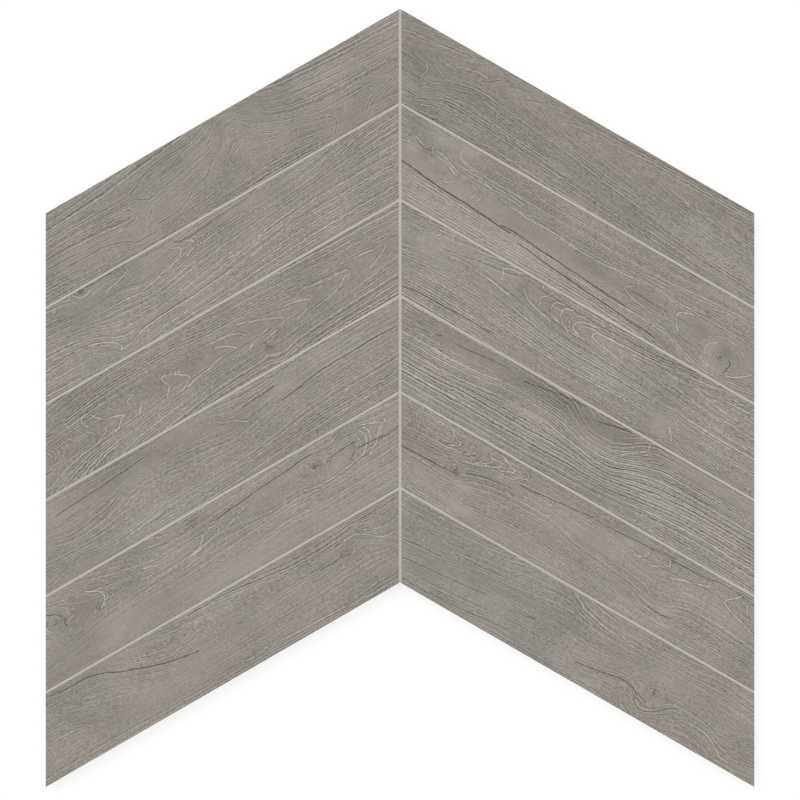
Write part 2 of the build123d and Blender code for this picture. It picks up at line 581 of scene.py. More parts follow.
# A cracked knot at the left end, and a knot with a nest of arcs at the right
PLANKS["tile_left_5"] = Plank(
    seed=5.0,
    flow=(
        ((-125, -20), (125, -20)),
        ((-125, -16), (-65, -10), (0, -8), (20, -5.5), (40, -3.5), (60, -4), (125, -5)),
        (
            (-125, -9), (-65, -1), (-40, 0.5), (-20, 1.5), (0, 4), (15, 3), (30, 1.5), (50, 2.3),
            (62, 0.5), (72, 0.8), (82, 2.5), (95, 4), (125, 5),
        ),
        (
            (-125, 26), (-90, 22), (-70, 16.5), (-50, 12), (-30, 9.5), (-5, 10), (10, 13), (30, 14.8),
            (60, 16.8), (75, 15.5), (85, 20), (100, 17), (125, 15),
        ),
        (
            (-125, 32), (-62, 21), (-40, 17.5), (-20, 16), (0, 17), (30, 18.5), (60, 20), (85, 23.5),
            (125, 22),
        ),
    ),
    fine=0.98,
    lines=(0.5, 0.5),
    tone=0.015,
    knots=(Knot((62.5, 10.5), 4.0, 1.0), Knot((-97, 8), 4.5, 0.6)),
    cracks=(
        Line(((-101, 13), (-96, 11), (-93.5, 8.5), (-92.5, 6.5), (-94, 4.5), (-93.5, 3))),
        Line(((-104, 7.5), (-101.5, 9.5)), 0.05),
        Line(((-102, 6.8), (-95, 6.5), (-88, 6.8)), 0.1),
        Line(((2, 12), (12, 13.3), (20, 13.7), (30, 14.8), (45, 15.7), (60, 16.7), (64, 16.7))),
        Line(((63, 16.8), (70, 15.8), (76, 15.5), (79, 16.8), (82, 19), (84, 20.7)), 0.1),
        Line(((69.5, 9), (73, 10), (78, 11.1), (88, 11.2))),
        Line(((81, 3.8), (83.5, 5.5), (85.5, 8), (86.5, 10.5)), 0.03),
        Line(((87, 7.7), (95, 7), (104, 6.2), (108, 6.2), (112, 6.8)), -0.02),
        Line(((62, 8.8), (64.5, 10), (66, 9)), 0.15),
    ),
    dark=(
        Line(((-62, 21), (-57, 20.5), (-50, 18.8), (-40, 17.5), (-34, 16), (-26, 14.3))),
        Line(((-30, 21), (-26, 19.5), (-22, 18.5))),
        Line(((-80, 15), (-75, 12.5), (-72, 9), (-73, 5), (-76, 2.5)), 0.1),
        Line(((-14, 20), (-7, 20), (0, 20.3)), 0.1),
    ),
    light=(
        Line(((-76, 13.5), (-71, 11), (-69, 8.5), (-68.5, 6.5), (-70, 4), (-73, 2))),
        Line(((-70, 10.5), (-66.5, 7), (-68, 4.5), (-71, 2)), 0.1),
        Line(((-44, 8.8), (-38, 7.5), (-36, 5.5), (-38, 4), (-44, 3.5)), 0.15),
        Line(((-55, 14), (-45, 11.5), (-35, 9.5), (-28, 8)), 0.15),
        Line(((-97, 17.5), (-90, 15.8), (-84, 14.8), (-78, 13.8)), 0.15),
        Line(((-18, 2), (-12, 4), (-8, 7), (-7, 8.2), (-12, 9)), 0.1),
        Line(((-18, 1.8), (-10, 3.2), (-2, 5.2), (2, 8), (-3, 10))),
        Line(((0, 4.8), (8, 6.5), (15, 9), (22, 11)), 0.1),
        Line(((59, 13.5), (60, 10), (61.5, 8.3))),
        Line(((62, 13), (64, 11.8), (62.5, 10)), 0.1),
        Line(((53, 12.5), (54, 10), (56, 8.5)), 0.25),
        Line(((70, 8.5), (73.5, 11.5)), 0.15),
        Line(((83, 16), (86, 13.5), (86.5, 11), (85, 8), (83, 5)), 0.2),
        Line(((88, 15.5), (90.5, 12.5), (90.5, 10), (89, 7)), 0.1),
        Line(((92.5, 15.5), (94, 12.5), (94, 9.5), (92, 6.5), (88, 3))),
        Line(((95.5, 15.5), (97, 12.5), (96.5, 9), (94.5, 6)), 0.05),
        Line(((95, 17.5), (101, 15), (105.5, 13.2), (103, 11), (100, 8), (97.5, 5), (92, 2))),
        Line(((108, 13.5), (104, 10.5), (101.5, 7.5)), 0.1),
        Line(((30, 1.2), (50, 2), (62, 0.2), (72, 0.5), (82, 2)), 0.1),
        Line(((30, -0.2), (50, 0.5), (62, -1.2), (75, -0.8), (88, 1.5)), 0.15),
    ) + tuple(Arch((-64 + 2.1 * step, 5.6), 1.0, 2.3, 0.25) for step in range(9)),
    calm=(
        Patch((-70, -12), (50, 9), 0.9),
        Patch((30, -16), (60, 6), 0.9),
        Patch((-80, 6), (10, 8), 0.8),
        Patch((35, 10), (18, 3.5), 0.7),
    ),
    bold=(Patch((50, 0), (40, 5), 0.6), Patch((80, 18), (40, 4), 0.5)),
    shades=(
        Patch((-82, 8), (8, 7), -0.09),
        Patch((-74, 4), (2.5, 2), -0.12),
        Patch((-8, 17.5), (4, 2.5), -0.14),
        Patch((-98, 9.5), (4, 3), 0.05),
        Patch((82, 18.5), (3, 2.5), -0.1),
        Patch((66, 9), (3, 2), -0.08),
        Patch((70, -13), (45, 9), 0.04),
        Patch((-92, 2), (16, 14), -0.04),
    ),
    tints=(
        Patch((-100, 4), (8, 8), -0.6),
        Patch((86, 8), (8, 6), -0.5),
        Patch((0, 0), (150, 60), 0.25),
    ),
)

# One long crack that falls from the upper left, and a fold in the grain at the right
PLANKS["tile_left_6"] = Plank(
    seed=6.0,
    flow=(
        ((-125, -21), (-60, -20.5), (60, -20), (75, -21), (125, -20.5)),
        (
            (-125, -14), (-90, -12), (-50, -15), (0, -16), (63, -17.3), (72, -18), (85, -15.8),
            (125, -15),
        ),
        ((-125, 3), (-95, 2), (-80, -2.5), (-65, -6), (-45, -8), (0, -9), (40, -8.5), (125, -7)),
        (
            (-125, 18), (-75, 15), (-62, 12), (-50, 7), (-37, 2.5), (-20, -0.5), (40, 1), (80, 3.5),
            (90, 5), (100, 1), (125, 2),
        ),
        (
            (-125, 24), (-60, 20), (-30, 16), (0, 14), (30, 10), (60, 9.5), (78, 10.5), (88, 12.8),
            (96, 9), (108, 7.5), (125, 9),
        ),
        (
            (-125, 30), (-40, 23), (0, 20.5), (20, 18.7), (35, 16.8), (55, 15.3), (68, 15.2),
            (80, 16.2), (92, 17), (103, 16.3), (125, 18),
        ),
    ),
    fine=0.95,
    lines=(0.8, 0.4),
    ink=1.3,
    cracks=(
        Line((
            (-97, 19.7), (-86, 18.3), (-73, 18), (-68, 16.8), (-62, 15), (-57, 12.3), (-48, 9),
            (-37, 5), (-23, 2), (-14, 0.5),
        )),
        Line(((63, 5.3), (70, 5.2), (78, 5.5), (82, 5)), 0.05),
        Line(((76, 6.3), (80, 7.2), (83, 6.8)), 0.1),
        Line(((80, 2.5), (86, 2.8), (92, 1.5)), 0.25),
        Line(((100, 0), (107, 0.5)), 0.25),
    ),
    dark=(
        Line(((-10, 20), (5, 20), (20, 19), (35, 17), (50, 15.5), (65, 15), (80, 16), (90, 17))),
        Line((
            (30, 19.5), (45, 18.2), (60, 17.3), (75, 17.8), (90, 18.7), (105, 18.3), (118, 18.8),
        ), 0.05),
        Line(((35, 15.2), (50, 13.8), (65, 13.2), (78, 13.8)), 0.05),
        Line(((45, 12.8), (60, 12), (72, 12), (82, 13.2)), 0.1),
        Line(((92, 15.5), (100, 14.3), (110, 14.6), (117, 15.5)), 0.1),
        Line(((-78, 13.5), (-70, 12.5), (-64, 11)), 0.2),
        Line(((-42, 1.5), (-36, 0), (-30, -1.5)), 0.2),
    ),
    light=(
        Line(((82, 12.6), (88, 12.6), (93, 10.5), (97, 7), (100, 5), (108, 3.5)), 0.05),
        Line(((92, 14), (96, 11.5), (100, 9.8), (108, 9), (114, 9.5)), 0.1),
        Line(((81, 9), (86, 10.2), (91, 8.5)), 0.2),
        Line((
            (5, -17), (20, -16), (35, -17), (55, -17.8), (63, -17.7), (68, -19), (78, -19.2),
            (90, -18.7),
        ), 0.1),
        Line(((72, -16.5), (80, -16), (88, -15), (98, -15)), 0.1),
        Line(((-90, 0), (-80, -4), (-72, -7)), 0.25),
        Line(((16, 10.5), (30, 10.2), (40, 10.8)), 0.25),
        Line(((42, 11), (60, 10.3)), 0.25),
    ),
    calm=(Patch((-40, -5), (45, 9), 0.7), Patch((20, 2), (30, 6), 0.5), Patch((-55, 18), (20, 4), 0.6)),
    bold=(Patch((65, 17), (50, 6), 1.0), Patch((60, -18), (60, 4), 0.4)),
    shades=(
        Patch((80, 6.5), (4, 1.5), -0.08),
        Patch((35, 14), (55, 6), 0.05),
        Patch((-85, 16), (25, 5), -0.03),
        Patch((20, -14), (90, 8), -0.035),
    ),
    tints=(Patch((-90, 8), (30, 10), -0.5), Patch((-30, 8), (40, 10), 0.25)),
)

# A row of thin arcs along the upper edge, over grain that falls to the right
PLANKS["tile_right_1"] = Plank(
    seed=7.0,
    flow=(
        ((-125, -21.5), (-85, -21), (-60, -19.3), (0, -20.5), (60, -22), (125, -25)),
        (
            (-125, -20), (-98, -16.8), (-88, -15.5), (-80, -11.8), (-70, -10.2), (-50, -10.2),
            (0, -12.5), (40, -15), (80, -17.5), (125, -20),
        ),
        (
            (-125, -6), (-90, -7), (-75, 0), (-62, 3), (-40, 0), (0, -3.5), (30, -7), (60, -10),
            (125, -14),
        ),
        ((-125, 8), (-80, 7.8), (-65, 9.3), (-40, 11.5), (0, 11.5), (40, 11.5), (90, 11), (125, 10)),
        ((-125, 10.5), (-110, 12.5), (-80, 16), (-60, 17.5), (0, 17), (80, 17), (125, 18)),
    ),
    heart=(10.1, 6, -0.05),
    fine=1.5,
    tone=-0.035,
    ink=0.75,
    lines=(0.7, 0.2),
    dark=(
        Line((
            (-98, -16.6), (-90, -15.5), (-85, -13.5), (-80, -11.5), (-75, -10.5), (-65, -10),
            (-50, -10.2), (-30, -11), (0, -12.5),
        ), 0.05),
        Line((
            (-98, -17.6), (-88, -17), (-82, -14.8), (-75, -13.5), (-62, -13.2), (-35, -14.5),
            (0, -15.5),
        ), 0.1),
        Line(((-82, -7.8), (-77, -7.3), (-65, -7), (-55, -7.5), (-40, -8.5), (0, -10)), 0.05),
        Line(((-57, 14.5), (-62, 11), (-65, 9.3), (-62, 7.5), (-55, 5.5), (-48, 4.5))),
        Line(((-54, 14.5), (-58, 12), (-58.5, 10.5), (-55, 8)), 0.15),
        Line(((-42, 14.5), (-46, 13.5), (-49, 12.5), (-48, 11), (-45, 10)), 0.1),
        Line(((-30, 16), (-35, 14.5), (-39, 13), (-40, 12), (-36, 10.5), (-28, 9.5))),
        Line(((-15, 18), (-22, 16.5), (-28, 15.3), (-31, 14), (-28, 11.5), (-22, 9), (-12, 6.5)), 0.05),
        Line(((-7, 15.5), (-12, 14.5), (-16, 13), (-17, 12), (-14, 10), (-10, 8))),
        Line(((2, 14), (-4, 13.5), (-7.5, 12), (-5, 9.5), (0, 8.8))),
        Line(((5, 11), (12, 11), (16, 11.5), (19, 13.5), (25, 14), (40, 15)), 0.1),
        Line(((55, 14.5), (45, 14), (41, 13), (40, 12.3)), 0.05),
        Line(((95, 13.5), (90, 12.5), (88, 11), (90, 8.5), (93, 7)), 0.05),
        Line(((25, 11), (33, 10.2)), 0.05),
        Line(((35, 10.5), (45, 8.5), (55, 6), (65, 4.5))),
        Line(((48, 11.3), (57, 10)), 0.1),
        Line(((62, 9), (70, 7), (78, 5))),
        Line(((75, 9), (82, 7), (90, 5), (105, 2))),
        Line(((-73, 7), (-69, 5.5)), 0.1),
        Line(((-110, 4.5), (-106, 4.5), (-100, 3), (-95, 2.5)), 0.1),
        Line(((-105, -1), (-102, -2.5), (-101, -4.5)), 0.1),
        Line(((-117, 14), (-100, 15.7), (-85, 17.2), (-75, 18))),
        Line(((-113, 12.2), (-98, 13.8), (-84, 15.2)), 0.1),
    ),
    light=(
        Line(((-102, 2.5), (-100.5, 0.5)), 0.15),
        Line(((-95, 3), (-93.5, 1.5), (-93, -1), (-94, -4)), 0.1),
        Line(((-92, 5), (-87, 3.5), (-84, 1.5)), 0.1),
        Line(((-83, -2), (-87, -4.5), (-88, -7), (-91, -9)), 0.1),
        Line(((-80, 10), (-73, 12), (-68, 13), (-63, 13.2)), 0.05),
        Line(((-90, 9), (-85, 8.5), (-78, 7.8)), 0.05),
        Line(((50, -14.5), (75, -16.5), (110, -19.5)), 0.15),
        Line(((40, -16.5), (70, -18.5), (100, -21)), 0.2),
    ),
    calm=(
        Patch((-92, 0), (20, 8), 0.95),
        Patch((-98, -11), (14, 3), 0.8),
        Patch((-20, 13), (35, 3.5), 0.5),
        Patch((70, 11), (30, 3), 0.5),
    ),
    bold=(Patch((-20, -12), (60, 9), 0.7), Patch((-95, 15), (25, 4), 0.6)),
    shades=(
        Patch((-98, -11), (12, 3), 0.06),
        Patch((-100, 2), (12, 5), -0.04),
        Patch((-85, -2), (50, 20), -0.09),
        Patch((85, -12), (45, 14), 0.055),
    ),
    tints=(Patch((-98, -11), (14, 4), -0.6), Patch((0, -2), (150, 12), -0.15)),
)

# Long cracks over a pale band, and a large ringed knot at the right end
PLANKS["tile_right_2"] = Plank(
    seed=8.0,
    flow=(
        ((-125, -20), (-60, -20.5), (0, -21), (40, -22), (80, -27), (125, -24)),
        (
            (-125, -9), (-95, -10.5), (-40, -10.5), (0, -11), (40, -12.5), (60, -14), (75, -18.5),
            (90, -21), (110, -20), (125, -18),
        ),
        (
            (-125, -3), (-100, -3.5), (-60, -6.8), (0, -9), (36, -11.3), (60, -10.5), (75, -13),
            (94, -16), (125, -14),
        ),
        (
            (-125, 3), (-90, 6), (-70, 5), (-50, 5), (-30, 3), (0, 2), (30, 3.3), (45, 5), (60, 3),
            (125, 1),
        ),
        ((-125, 16), (-90, 16), (-70, 11), (-50, 10.5), (0, 11), (45, 11), (70, 13), (125, 15)),
        ((-125, 24), (-80, 20.5), (0, 19.5), (45, 19.5), (80, 20.5), (125, 21)),
    ),
    fine=1.4,
    lines=(0.25, 0.35),
    knots=(Knot((93.3, -10), 3.6, 0.8),),
    cracks=(
        Line((
            (-106, -3.6), (-97, -4.2), (-88, -5.4), (-75, -6.2), (-63, -6.7), (-50, -7.6), (-37, -8.6),
        ), -0.08),
        Line(((-43, -7), (-34, -7), (-19, -8), (-4, -9), (11, -10), (36, -11.4)), -0.07),
        Line(((-31, -10.8), (-19, -12), (-4, -13.5), (11, -14.8), (40, -16.9), (58, -18.2)), -0.06),
        Line(((98.3, -9), (99.8, -10.7), (99.3, -13), (98.7, -16)), -0.03),
        Line(((35, -2.3), (43, -2.5), (46, -3.3), (56, -3.2)), 0.1),
        Line(((50, -8.5), (63, -8.5)), 0.2),
        Line(((67, -10), (72, -11.3), (77, -12)), 0.1),
        Line(((62, -3), (68, -2.5)), 0.1),
        Line(((45, 21), (55, 21), (70, 20.5)), 0.15),
        Line(((45, 18.3), (52, 18), (60, 18.3)), 0.1),
    ),
    dark=(
        Line(((91, -10.3), (92.3, -11.4), (94.5, -11.2), (96, -9.8)), 0.05),
        Line(((92.3, -9.2), (93.5, -8.7), (95, -9), (96, -9.8)), 0.12),
        Line((
            (-107.5, 7.5), (-105.5, 10), (-103, 9), (-100, 8), (-98, 9.5), (-96, 8), (-93.5, 10.5),
        ), 0.05),
        Line(((-95, 5.5), (-90, 3.5), (-84, 2.5)), 0.2),
    ),
    light=(
        Line(((-50, 5), (-40, 3.5), (-30, 3), (-20, 3.2), (0, 2), (10, 2), (20, 2.7), (32, 3.5)), 0.05),
        Line(((35, 0.5), (33, -1), (31, -2.5), (32, -4), (38, -6), (45, -7)), 0.05),
        Line(((68, 2.5), (64, 1), (62, -1), (62.5, -3), (64, -6), (67, -9.5))),
        Line(((53, 0), (51, -2), (55, -4), (58, -7)), 0.15),
        Line(((-67, 4), (-64, 2.5), (-63, 0), (-64, -3)), 0.05),
        Line(((-61, 2.5), (-59.5, 0), (-60.5, -2.5)), 0.15),
        Line(((-83, 2), (-80, -2)), 0.12),
        Line(((-76, 1), (-80, -2)), 0.12),
        Line(((76, 10.5), (83, 12)), 0.05),
        Line(((60, 4), (70, 5.5), (75, 6.5)), 0.1),
        Line(((112, -9.5), (109, -12.5), (105, -15.3), (100.5, -17)), -0.05),
        Line(((-110, 10), (-105, 13), (-100, 11), (-97.5, 9)), 0.25),
        Line(((-108, 16), (-110, 13), (-111, 9.5)), 0.25),
        Line(((-101, 20), (-103, 16), (-102, 12)), 0.15),
        Line(((-99, 15), (-97, 16), (-94, 18.5), (-90, 20)), 0.25),
        Line(((-108, 7), (-105, 10.8), (-101, 9.2), (-98.5, 8.5), (-96, 11), (-93.5, 8)), 0.1),
        Line(((-93, 11), (-90, 11.6), (-86, 13.3), (-84, 14.3)), 0.25),
        Line(((-92, 10), (-87, 9.5), (-82, 7.5), (-76, 5.5)), 0.05),
        Line(((-90, 7.5), (-85, 7), (-80, 5), (-76, 4)), 0.05),
        Line(((-83, 14), (-78, 12), (-72, 10.7), (-64, 9.5)), 0.1),
        Line(((-81, 9.8), (-77, 9.2), (-72, 9.1), (-67, 8.9)), 0.12),
        Line(((-66, 8.3), (-60, 7.6), (-56, 6.8)), 0.1),
        Line(((-81, 16), (-79, 13.5), (-74, 12), (-68, 11.3)), 0.1),
        Line(((0, -12), (40, -12.6), (60, -13.2), (70, -16), (80, -20)), 0.1),
        Line(((-100, -7.5), (-60, -9), (-30, -10)), 0.15),
        Line(((-95, -11.5), (-50, -12), (-10, -14), (30, -18)), 0.2),
        Line(((80.5, -8), (82, -4), (86, -1), (91, 0.5), (98, 0), (104, -3)), 0.12),
        Line(((85, -12), (83.5, -9), (84.5, -6), (88, -3.5)), 0.08),
        Line(((99, -2), (103, -5), (105, -9)), 0.15),
        Line(((83, -14), (88, -16.5), (94, -16.5)), 0.15),
    ),
    calm=(
        Patch((10, -3), (55, 4.5), 1.0),
        Patch((-90, 13), (28, 8), 0.9),
        Patch((-75, 0), (20, 4), 0.7),
        Patch((93, -8), (19, 9), 1.0),
        Patch((78, -3), (14, 6), 0.9),
        Patch((106, -4), (10, 7), 0.8),
        Patch((-98, 2), (16, 5), 0.9),
        Patch((-45, -2), (20, 4.5), 0.9),
        Patch((-50, -15), (100, 5), 0.35),
    ),
    shades=(
        Patch((10, -2.5), (50, 4), -0.07),
        Patch((-40, -15), (110, 6), 0.13),
        Patch((-85, -4), (20, 5), 0.04),
        Patch((-97, 7.5), (6, 3), -0.15),
        Patch((-93, 16.5), (5, 2.5), 0.09),
        Patch((-77, 18.5), (5, 3), 0.1),
        Patch((-104, 4.5), (5, 1.5), 0.1),
        Patch((-107, 18), (5, 3), -0.06),
        Patch((-84, -1), (4, 3), -0.05),
        Patch((-72, -1), (6, 3), 0.05),
        Patch((-54, -3.5), (4, 1.5), 0.06),
        Patch((-45, -0.5), (4, 1.5), 0.06),
        Patch((95, -5.5), (5, 3), -0.17),
        Patch((86, -8), (3, 5), 0.08),
        Patch((90, -17), (6, 2.5), 0.09),
        Patch((101, -3), (6, 2), 0.06),
        Patch((78, -3), (4, 4), -0.05),
    ),
    tints=(
        Patch((-100, 14), (14, 9), -0.9),
        Patch((0, -8), (150, 14), 0.35),
        Patch((95, -6), (8, 5), -1.2),
    ),
)

# A nest of pale arcs above the middle, and a bump in the grain at the lower right
PLANKS["tile_right_3"] = Plank(
    seed=9.0,
    flow=(
        ((-125, -22), (125, -22)),
        (
            (-125, -14), (-95, -10), (-70, -9), (-40, -10.5), (0, -12), (30, -11), (50, -10.5),
            (57, -8.5), (61, -6), (66, -9.5), (80, -10.5), (125, -11),
        ),
        (
            (-125, -8), (-105, -4.5), (-80, -2.8), (-60, -2.6), (-30, -4.5), (0, -6.5), (25, -6),
            (55, -5.5), (61, -4), (70, -5.5), (125, -6),
        ),
        (
            (-125, 0), (-105, 4), (-85, 8.8), (-71, 10.2), (-52, 8.2), (-30, 5.5), (-10, 3), (10, 3),
            (35, 2), (60, 0.5), (125, -1),
        ),
        ((-125, 6), (-95, 10.5), (-70, 13), (-50, 13.5), (-20, 12), (0, 11), (60, 11), (125, 11)),
        (
            (-125, 13), (-100, 14), (-80, 15.5), (-60, 17.5), (-45, 19.5), (-20, 17.5), (0, 16.5),
            (25, 16.3), (45, 17.3), (65, 19.5), (80, 21.5), (125, 25),
        ),
    ),
    heart=(11, 5, -0.05),
    fine=1.6,
    lines=(0.3, 0.4),
    cracks=(
        Line(((-98, -17), (-90, -16), (-80, -15.5), (-70, -15.3), (-60, -15), (-45, -15.3))),
        Line(((46, -21.3), (52, -20.5), (60, -20)), 0.1),
    ),
    dark=(
        Line(((-90, 11), (-80, 12.5), (-73, 14), (-63, 15.5), (-55, 16.5), (-48, 18.5), (-42, 21))),
        Line(((-118, 20), (-108, 21)), 0.05),
        Line(((-116, 14), (-105, 15.5), (-95, 16)), 0.1),
        Line(((-98, 19.3), (-88, 19.6)), 0.1),
        Line(((-90, 17.3), (-83, 17.8)), 0.1),
        Line(((20, 5), (28, 4.2), (35, 3.5)), 0.05),
        Line(((20, 15), (45, 16), (65, 18.5), (76, 21)), 0.05),
    ),
    light=(
        Line(((-18, 17.5), (-22, 16.5), (-23.5, 14), (-23, 11.5), (-20, 9), (-16, 7.5)), 0.05),
        Line(((-13, 17), (-16.5, 15.5), (-17.5, 13), (-16.5, 10.5), (-13, 7.5), (-9, 5.5))),
        Line(((-5, 17.5), (-9, 15.5), (-11.5, 13), (-11, 10), (-8, 7), (-2, 6)), 0.1),
        Line(((2, 15.5), (-5, 14), (-8, 12), (-8.5, 10), (-6, 8), (0, 6.3))),
        Line(((3, 13.5), (-2, 13), (-4.5, 11.5), (-4.5, 10)), 0.1),
        Line(((20, 13.7), (12, 13.5), (5, 13), (3, 11.5), (3, 10.3), (6, 9), (14, 7.7), (24, 6.2))),
        Line(((-41, 14), (-38, 11), (-33, 9), (-27, 7.5), (-20, 5.5))),
        Line(((-33, 21), (-33, 18.5), (-34, 16)), 0.1),
        Line(((-26.5, 20.5), (-28, 17.5), (-31, 14), (-30, 12)), 0.05),
        Line(((-45, 21), (-52, 19.5), (-56, 17.5), (-54.5, 15), (-54, 12.5)), 0.05),
        Line(((-95, 18.5), (-94, 17), (-95.5, 15), (-94, 12.5)), 0.1),
        Line(((-100, 15.5), (-99.5, 13.5)), 0.15),
        Line(((-85, 9), (-78, 10), (-71, 10.3)), 0.05),
        Line(((-68, 9.7), (-60, 9.3), (-52, 8.2), (-45, 7))),
        Line(((25, 12.5), (38, 13.3), (54, 13.2)), 0.05),
        Line(((64, 13.2), (72, 12), (78, 11.2), (84, 10.2), (93, 10)), 0.05),
        Line(((28, 11), (34, 11.2)), 0.1),
        Line(((41, 10.5), (48, 10.7)), 0.1),
        Line(((46, 7), (63, 6.3), (75, 5.5), (90, 4.8)), 0.1),
        Line(((95, 13.3), (101, 12.5)), 0.1),
        Line(((85.5, 15), (87, 17), (91, 18.5)), 0.05),
        Line(((58, 15), (65, 16.5), (72, 18.5), (76, 19.5)), 0.05),
        Line(((3.5, 21), (4, 19), (6, 18)), 0.1),
        Line(((8, 20.5), (12, 19)), 0.1),
        Line(((63, -11.5), (65, -14), (67, -16.5))),
        Line(((70, -16), (75, -19)), 0.1),
        Line(((39, -18), (43, -19)), 0.1),
        Line(((5, -14), (8, -15)), 0.1),
        Line(((95, -17), (98, -18)), 0.1),
        Line(((-32, -10), (-27, -12.5)), 0.1),
    ),
    calm=(
        Patch((60, -11.5), (9, 8), 1.0),
        Patch((-5, 11), (22, 3), 0.7),
        Patch((-60, 14), (18, 2), 0.6),
        Patch((-36, 15), (10, 5), 0.7),
    ),
    bold=(Patch((0, -14), (120, 6), 0.3), Patch((60, 10), (50, 6), 0.4)),
    shades=(
        Patch((58, -14), (8, 5.5), 0.07),
        Patch((-60, -18), (40, 3), 0.03),
        Patch((0, -8), (140, 12), 0.045),
        Patch((0, 19), (140, 6), -0.02),
    ),
    tints=(
        Patch((58, -14), (9, 6), 0.7),
        Patch((-100, 10), (25, 10), -0.3),
        Patch((0, 2), (60, 10), -0.25),
    ),
)

# Strong ruled grain that dips under a dark calm place at the top
PLANKS["tile_right_4"] = Plank(
    seed=10.0,
    flow=(
        ((-125, -20.8), (-60, -21.2), (0, -21), (30, -19.5), (60, -18), (125, -19)),
        (
            (-125, -14.5), (-30, -14.5), (0, -13.3), (20, -12.8), (35, -11.3), (60, -8), (85, -6.5),
            (125, -7),
        ),
        (
            (-125, -7), (-85, -6.7), (-60, -5), (-30, -5), (0, -5.2), (10, -6.5), (20, -6), (35, -3.5),
            (55, -0.5), (80, 1), (125, 0.5),
        ),
        (
            (-125, -1.5), (-85, -1.3), (-70, 0), (-50, 2.8), (-37, 4), (-20, 2.5), (-5, 0.3), (5, -1),
            (14, -2.3), (20, -2), (35, 3), (45, 5.5), (60, 6.5), (125, 6.5),
        ),
        (
            (-125, 6), (-95, 5.5), (-70, 7), (-50, 9.8), (-30, 10.5), (-15, 10), (-5, 6.5), (5, 4.5),
            (15, 4.8), (22, 6), (35, 10), (42, 12), (52, 13.3), (125, 13),
        ),
        ((-125, 22), (-15, 18), (-3, 11), (5, 8.5), (15, 9), (22, 12), (30, 17), (40, 20), (125, 20)),
    ),
    fine=1.7,
    lines=(2.2, -0.6),
    tone=0.03,
    cracks=(
        Line(((-117, 14), (-105, 15.5)), 0.15),
        Line(((-108, 12), (-103, 12.5), (-98, 12.5)), 0.1),
        Line(((-96, 13.5), (-92, 14.5)), 0.05),
        Line(((-83, 14.5), (-77, 15), (-68, 16.2), (-60, 17.2)), 0.05),
        Line(((-58, 17), (-52, 17.5)), 0.1),
        Line(((-42, 15.7), (-35, 16.8), (-28, 18), (-20, 19.3), (-12, 20.3), (-7, 20.3))),
        Line(((3, 17), (8, 18), (14, 19.5), (22, 20.5))),
        Line(((83, 17), (90, 17.3)), 0.15),
    ),
    light=(
        Line(((33, 20), (33.5, 17.5), (31.5, 14.5), (27, 11), (24, 9), (22, 7), (20, 6)), 0.05),
        Line(((36, 20), (36.5, 17.5), (34, 14), (30, 11), (26, 8)), 0.2),
        Line(((40, 19.5), (46, 19.3)), 0.1),
    ),
    calm=(
        Patch((-75, 15), (50, 6), 1.0),
        Patch((8, 14.5), (13, 5.5), 1.0),
        Patch((80, 18), (40, 3.5), 1.0),
        Patch((-30, 2), (9, 1.5), 0.6),
        Patch((62, -3), (8, 2.5), 0.6),
    ),
    bold=(
        Patch((-60, -13), (70, 11), 1.4),
        Patch((65, -4), (60, 16), 0.8),
        Patch((10, 0), (16, 5), 0.6),
    ),
    shades=(
        Patch((-45, 16), (75, 6), -0.15),
        Patch((8, 15), (12, 5), -0.08),
        Patch((85, 12), (35, 8), 0.05),
        Patch((-60, -12), (60, 8), 0.05),
        Patch((20, 1), (80, 7), 0.06),
        Patch((-32, 2), (9, 1.3), 0.08),
        Patch((-28, -7), (22, 1.5), 0.05),
    ),
    tints=(
        Patch((60, -3), (9, 3), -0.6),
        Patch((-60, 16), (60, 6), 0.3),
        Patch((-60, -16), (45, 5), -0.9),
        Patch((0, 0), (150, 60), -0.1),
    ),
)

